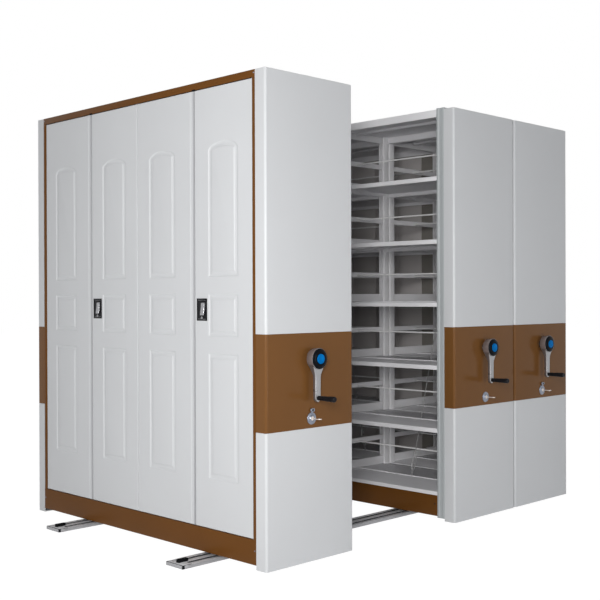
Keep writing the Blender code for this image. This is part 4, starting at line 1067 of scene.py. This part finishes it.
def build_handle(body, free_edge, face):
    """The black handle plate: its rim on the door, and the pull with its silver lever and lock."""
    y = (free_edge - HANDLE_EDGE - HANDLE_WIDTH, free_edge - HANDLE_EDGE)
    z = about(HANDLE_CENTRE, HANDLE_HEIGHT)
    rim = HANDLE_RIM
    s = bmesh.new()
    for a, b in ((y, (z[0], z[0] + rim)), (y, (z[1] - rim, z[1])), ((y[0], y[0] + rim), z), ((y[1] - rim, y[1]), z)):
        softened(s, 0.0012, box, (face - 0.0035, face + 0.001), a, b)
    show(f"{body}_handle_rim", mesh_of("handle rim", s, [BLACK]), body)
    low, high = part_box(f"{body}_handle")
    s = bmesh.new()
    softened(s, 0.0008, box, (low.x, high.x), (low.y, high.y), (low.z, high.z))
    middle = (low.y + high.y) / 2
    front = low.x
    top = HANDLE_CENTRE + 0.034
    profile = ((0.001, 0), (-0.0045, 0), (-0.0075, 0.004), (-0.0085, 0.030), (-0.0135, 0.058), (-0.0125, 0.062),
               (-0.0075, 0.0615), (-0.0050, 0.046), (-0.0030, 0.036), (0.001, 0.036))
    softened(s, 0.0030, prism, [(front + x, top - fall) for x, fall in profile[::-1]], "y",
             middle - 0.0260, middle, material=1, segments=3)
    lathe(s, ((0.0068, 0.001), (0.0068, -0.0016), (0.0060, -0.0022), (0.0026, -0.0022), (0.0022, -0.0010),
              (0.0003, -0.0010)), 28, (front, middle, HANDLE_CENTRE - 0.040), "x", 2)
    show(f"{body}_handle_pull", mesh_of("handle pull", s, [BLACK, CHROME, STEEL]), f"{body}_handle",
         stands_for=[f"{body}_handle"])


def build_buffers():
    """A rubber block on the surround above each of the doors' meeting gaps."""
    for gap, near, far in (("near", "left_door_1", "left_door_2"), ("far", "left_door_3", "left_door_4")):
        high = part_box(near)[1]
        y = (high.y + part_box(far)[0].y) / 2
        z = high.z - PIN_LENGTH + DOOR_RISE
        s = bmesh.new()
        softened(s, 0.0015, box, (-0.0012, 0.010), about(y, 0.026), (z + 0.0004, z + 0.0070))
        show(f"left_{gap}_gap_buffer", mesh_of("buffer", s, [RUBBER]), "left_carriage",
             (SIDE_AT["left"], 0, 0))


def build_back():
    """The closed back of the right carriage: four boards over a lining with open joints. The lining's darker tone is
    painted shade, and some of its boards are darker still as deeper painted shade.
    """
    low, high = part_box("right_back_panel")
    s = bmesh.new()
    width = (high.y - low.y) / BACK_BOARDS
    for i in range(BACK_BOARDS):
        y = (low.y + width * i + 0.0006, low.y + width * (i + 1) - 0.0006)
        softened(s, 0.0015, box, (high.x - BOARD_SHEET, high.x), y, (low.z, high.z), segments=3)
    for i in range(LINING_BOARDS):
        start = LINING_START + LINING_PITCH * i
        y = (max(low.y, start) + 0.0008, min(high.y, start + LINING_PITCH) - 0.0008)
        # The lining boards take painted shade, and the listed ones a deeper painted shade.
        softened(s, 0.0003, box, (low.x, high.x - BOARD_SHEET / 2), y, (low.z + 0.001, high.z - 0.001),
                 material=2 if i in DEEP_SHADE_LININGS else 1)
    show("right_back_boards", mesh_of("back", s, [WHITE, LINING_SHADE, DEEP_LINING_SHADE]), "right_carriage",
         stands_for=["right_back_panel"])


def dress_mechanism():
    """Finishes for the wheelsets and chains, whose solids are shown as they are."""
    for side in SIDES:
        for node in ("drive_chain", "drive_wheelset", "idler_wheelset"):
            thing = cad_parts[f"{side}_{node}"]
            for slot in thing.material_slots:
                slot.material = STEEL


# Name, place, what it points at, width and height, power and colour of each lamp.
LAMPS = (
    ("key", (-5.2, -4.6, 1.9), (-0.2, -0.3, 1.2), (1.2, 1.6), 232, (1, 0.995, 0.985)),
    ("left", (-5.0, -1.6, 1.8), (-1.3, 0.0, 1.2), (1.6, 2.0), 50, (1, 1, 1)),
    ("right", (0.6, -6.0, 0.9), (1.4, -0.9, 0.7), (1.2, 2.4), 56, (0.97, 0.98, 1)),
)


def seen_rays(tree):
    """1 for rays from the camera, off gloss and through glass."""
    path = tree.nodes.new("ShaderNodeLightPath")
    total = path.outputs["Is Camera Ray"]
    for name in ("Is Glossy Ray", "Is Transmission Ray"):
        node = tree.nodes.new("ShaderNodeMath")
        node.operation = "MAXIMUM"
        tree.links.new(total, node.inputs[0])
        tree.links.new(path.outputs[name], node.inputs[1])
        total = node.outputs[0]
    return total


def show_to(tree, share, lit, seen, output):
    """Sends the output a mix of two shaders: seen for a share of the rays, and lit for the rest."""
    mix = tree.nodes.new("ShaderNodeMixShader")
    for socket, source in zip(mix.inputs, (share, lit.outputs[0], seen.outputs[0])):
        tree.links.new(source, socket)
    tree.links.new(mix.outputs[0], tree.nodes[output].inputs["Surface"])


def floor_material():
    """A floor that looks white, but lights the object as a pale one does, and keeps its shadow."""
    surface, tree, shader = shader_of("floor", (0.84, 0.84, 0.84), 0.0, 0.8)
    glow = node_of(tree, "Emission", {"Strength": 1.10})
    share = tree.nodes.new("ShaderNodeMath")
    share.operation = "MULTIPLY"
    share.inputs[1].default_value = 0.90
    tree.links.new(seen_rays(tree), share.inputs[0])
    show_to(tree, share.outputs[0], shader, glow, "Material Output")
    return surface


def build_stage():
    """A pale floor that keeps the shadows, a white surround, and soft lamps."""
    scene = bpy.context.scene
    scene.view_settings.view_transform = "Standard"
    world = bpy.data.worlds.new("surround")
    world.use_nodes = True
    scene.world = world
    tree = world.node_tree
    sky = tree.nodes["Background"]
    sky.inputs["Color"].default_value = (0.95, 0.97, 1.0, 1)
    sky.inputs["Strength"].default_value = 0.12
    white = node_of(tree, "Background", {"Color": (1, 1, 1, 1), "Strength": 1.0})
    show_to(tree, seen_rays(tree), sky, white, "World Output")

    s = bmesh.new()
    reach = 30.0
    box(s, (-reach, reach), (-reach, reach), (-0.02, 0))
    placed("floor", mesh_of("floor", s, [floor_material()]))

    for name, at, aim, size, power, colour in LAMPS:
        lamp = bpy.data.lights.new(name, "AREA")
        lamp.shape = "RECTANGLE"
        lamp.size, lamp.size_y = size
        lamp.energy = power
        lamp.color = colour
        turn = (Vector(aim) - Vector(at)).to_track_quat("-Z", "Y")
        placed(name, lamp, at).rotation_euler = turn.to_euler()


def build_camera():
    """The photograph's view: level, at 45 degrees, with the frame's focal length."""
    data = bpy.data.cameras.new("camera")
    data.sensor_width = 36.0
    data.lens = data.sensor_width * CAMERA_FOCAL
    camera = placed("camera", data)
    yaw, pitch, roll = CAMERA_YAW, CAMERA_PITCH, CAMERA_ROLL
    forward = Vector((math.cos(yaw) * math.cos(pitch), math.sin(yaw) * math.cos(pitch), math.sin(pitch)))
    right = Vector((math.sin(yaw), -math.cos(yaw), 0))
    up = right.cross(forward)
    tilted = right * math.cos(roll) + up * math.sin(roll)
    level = up * math.cos(roll) - right * math.sin(roll)
    turn = Matrix((tilted, level, -forward)).transposed()
    place = Vector((SIDE_AT["left"], NEAR_FACE, 0)) + CAMERA_PLACE
    camera.matrix_world = Matrix.Translation(place) @ turn.to_4x4()
    bpy.context.scene.camera = camera


build_camera()
build_stage()
build_rails()
build_panels()
build_controls()
build_frames()
build_doors()
build_buffers()
build_back()
dress_mechanism()
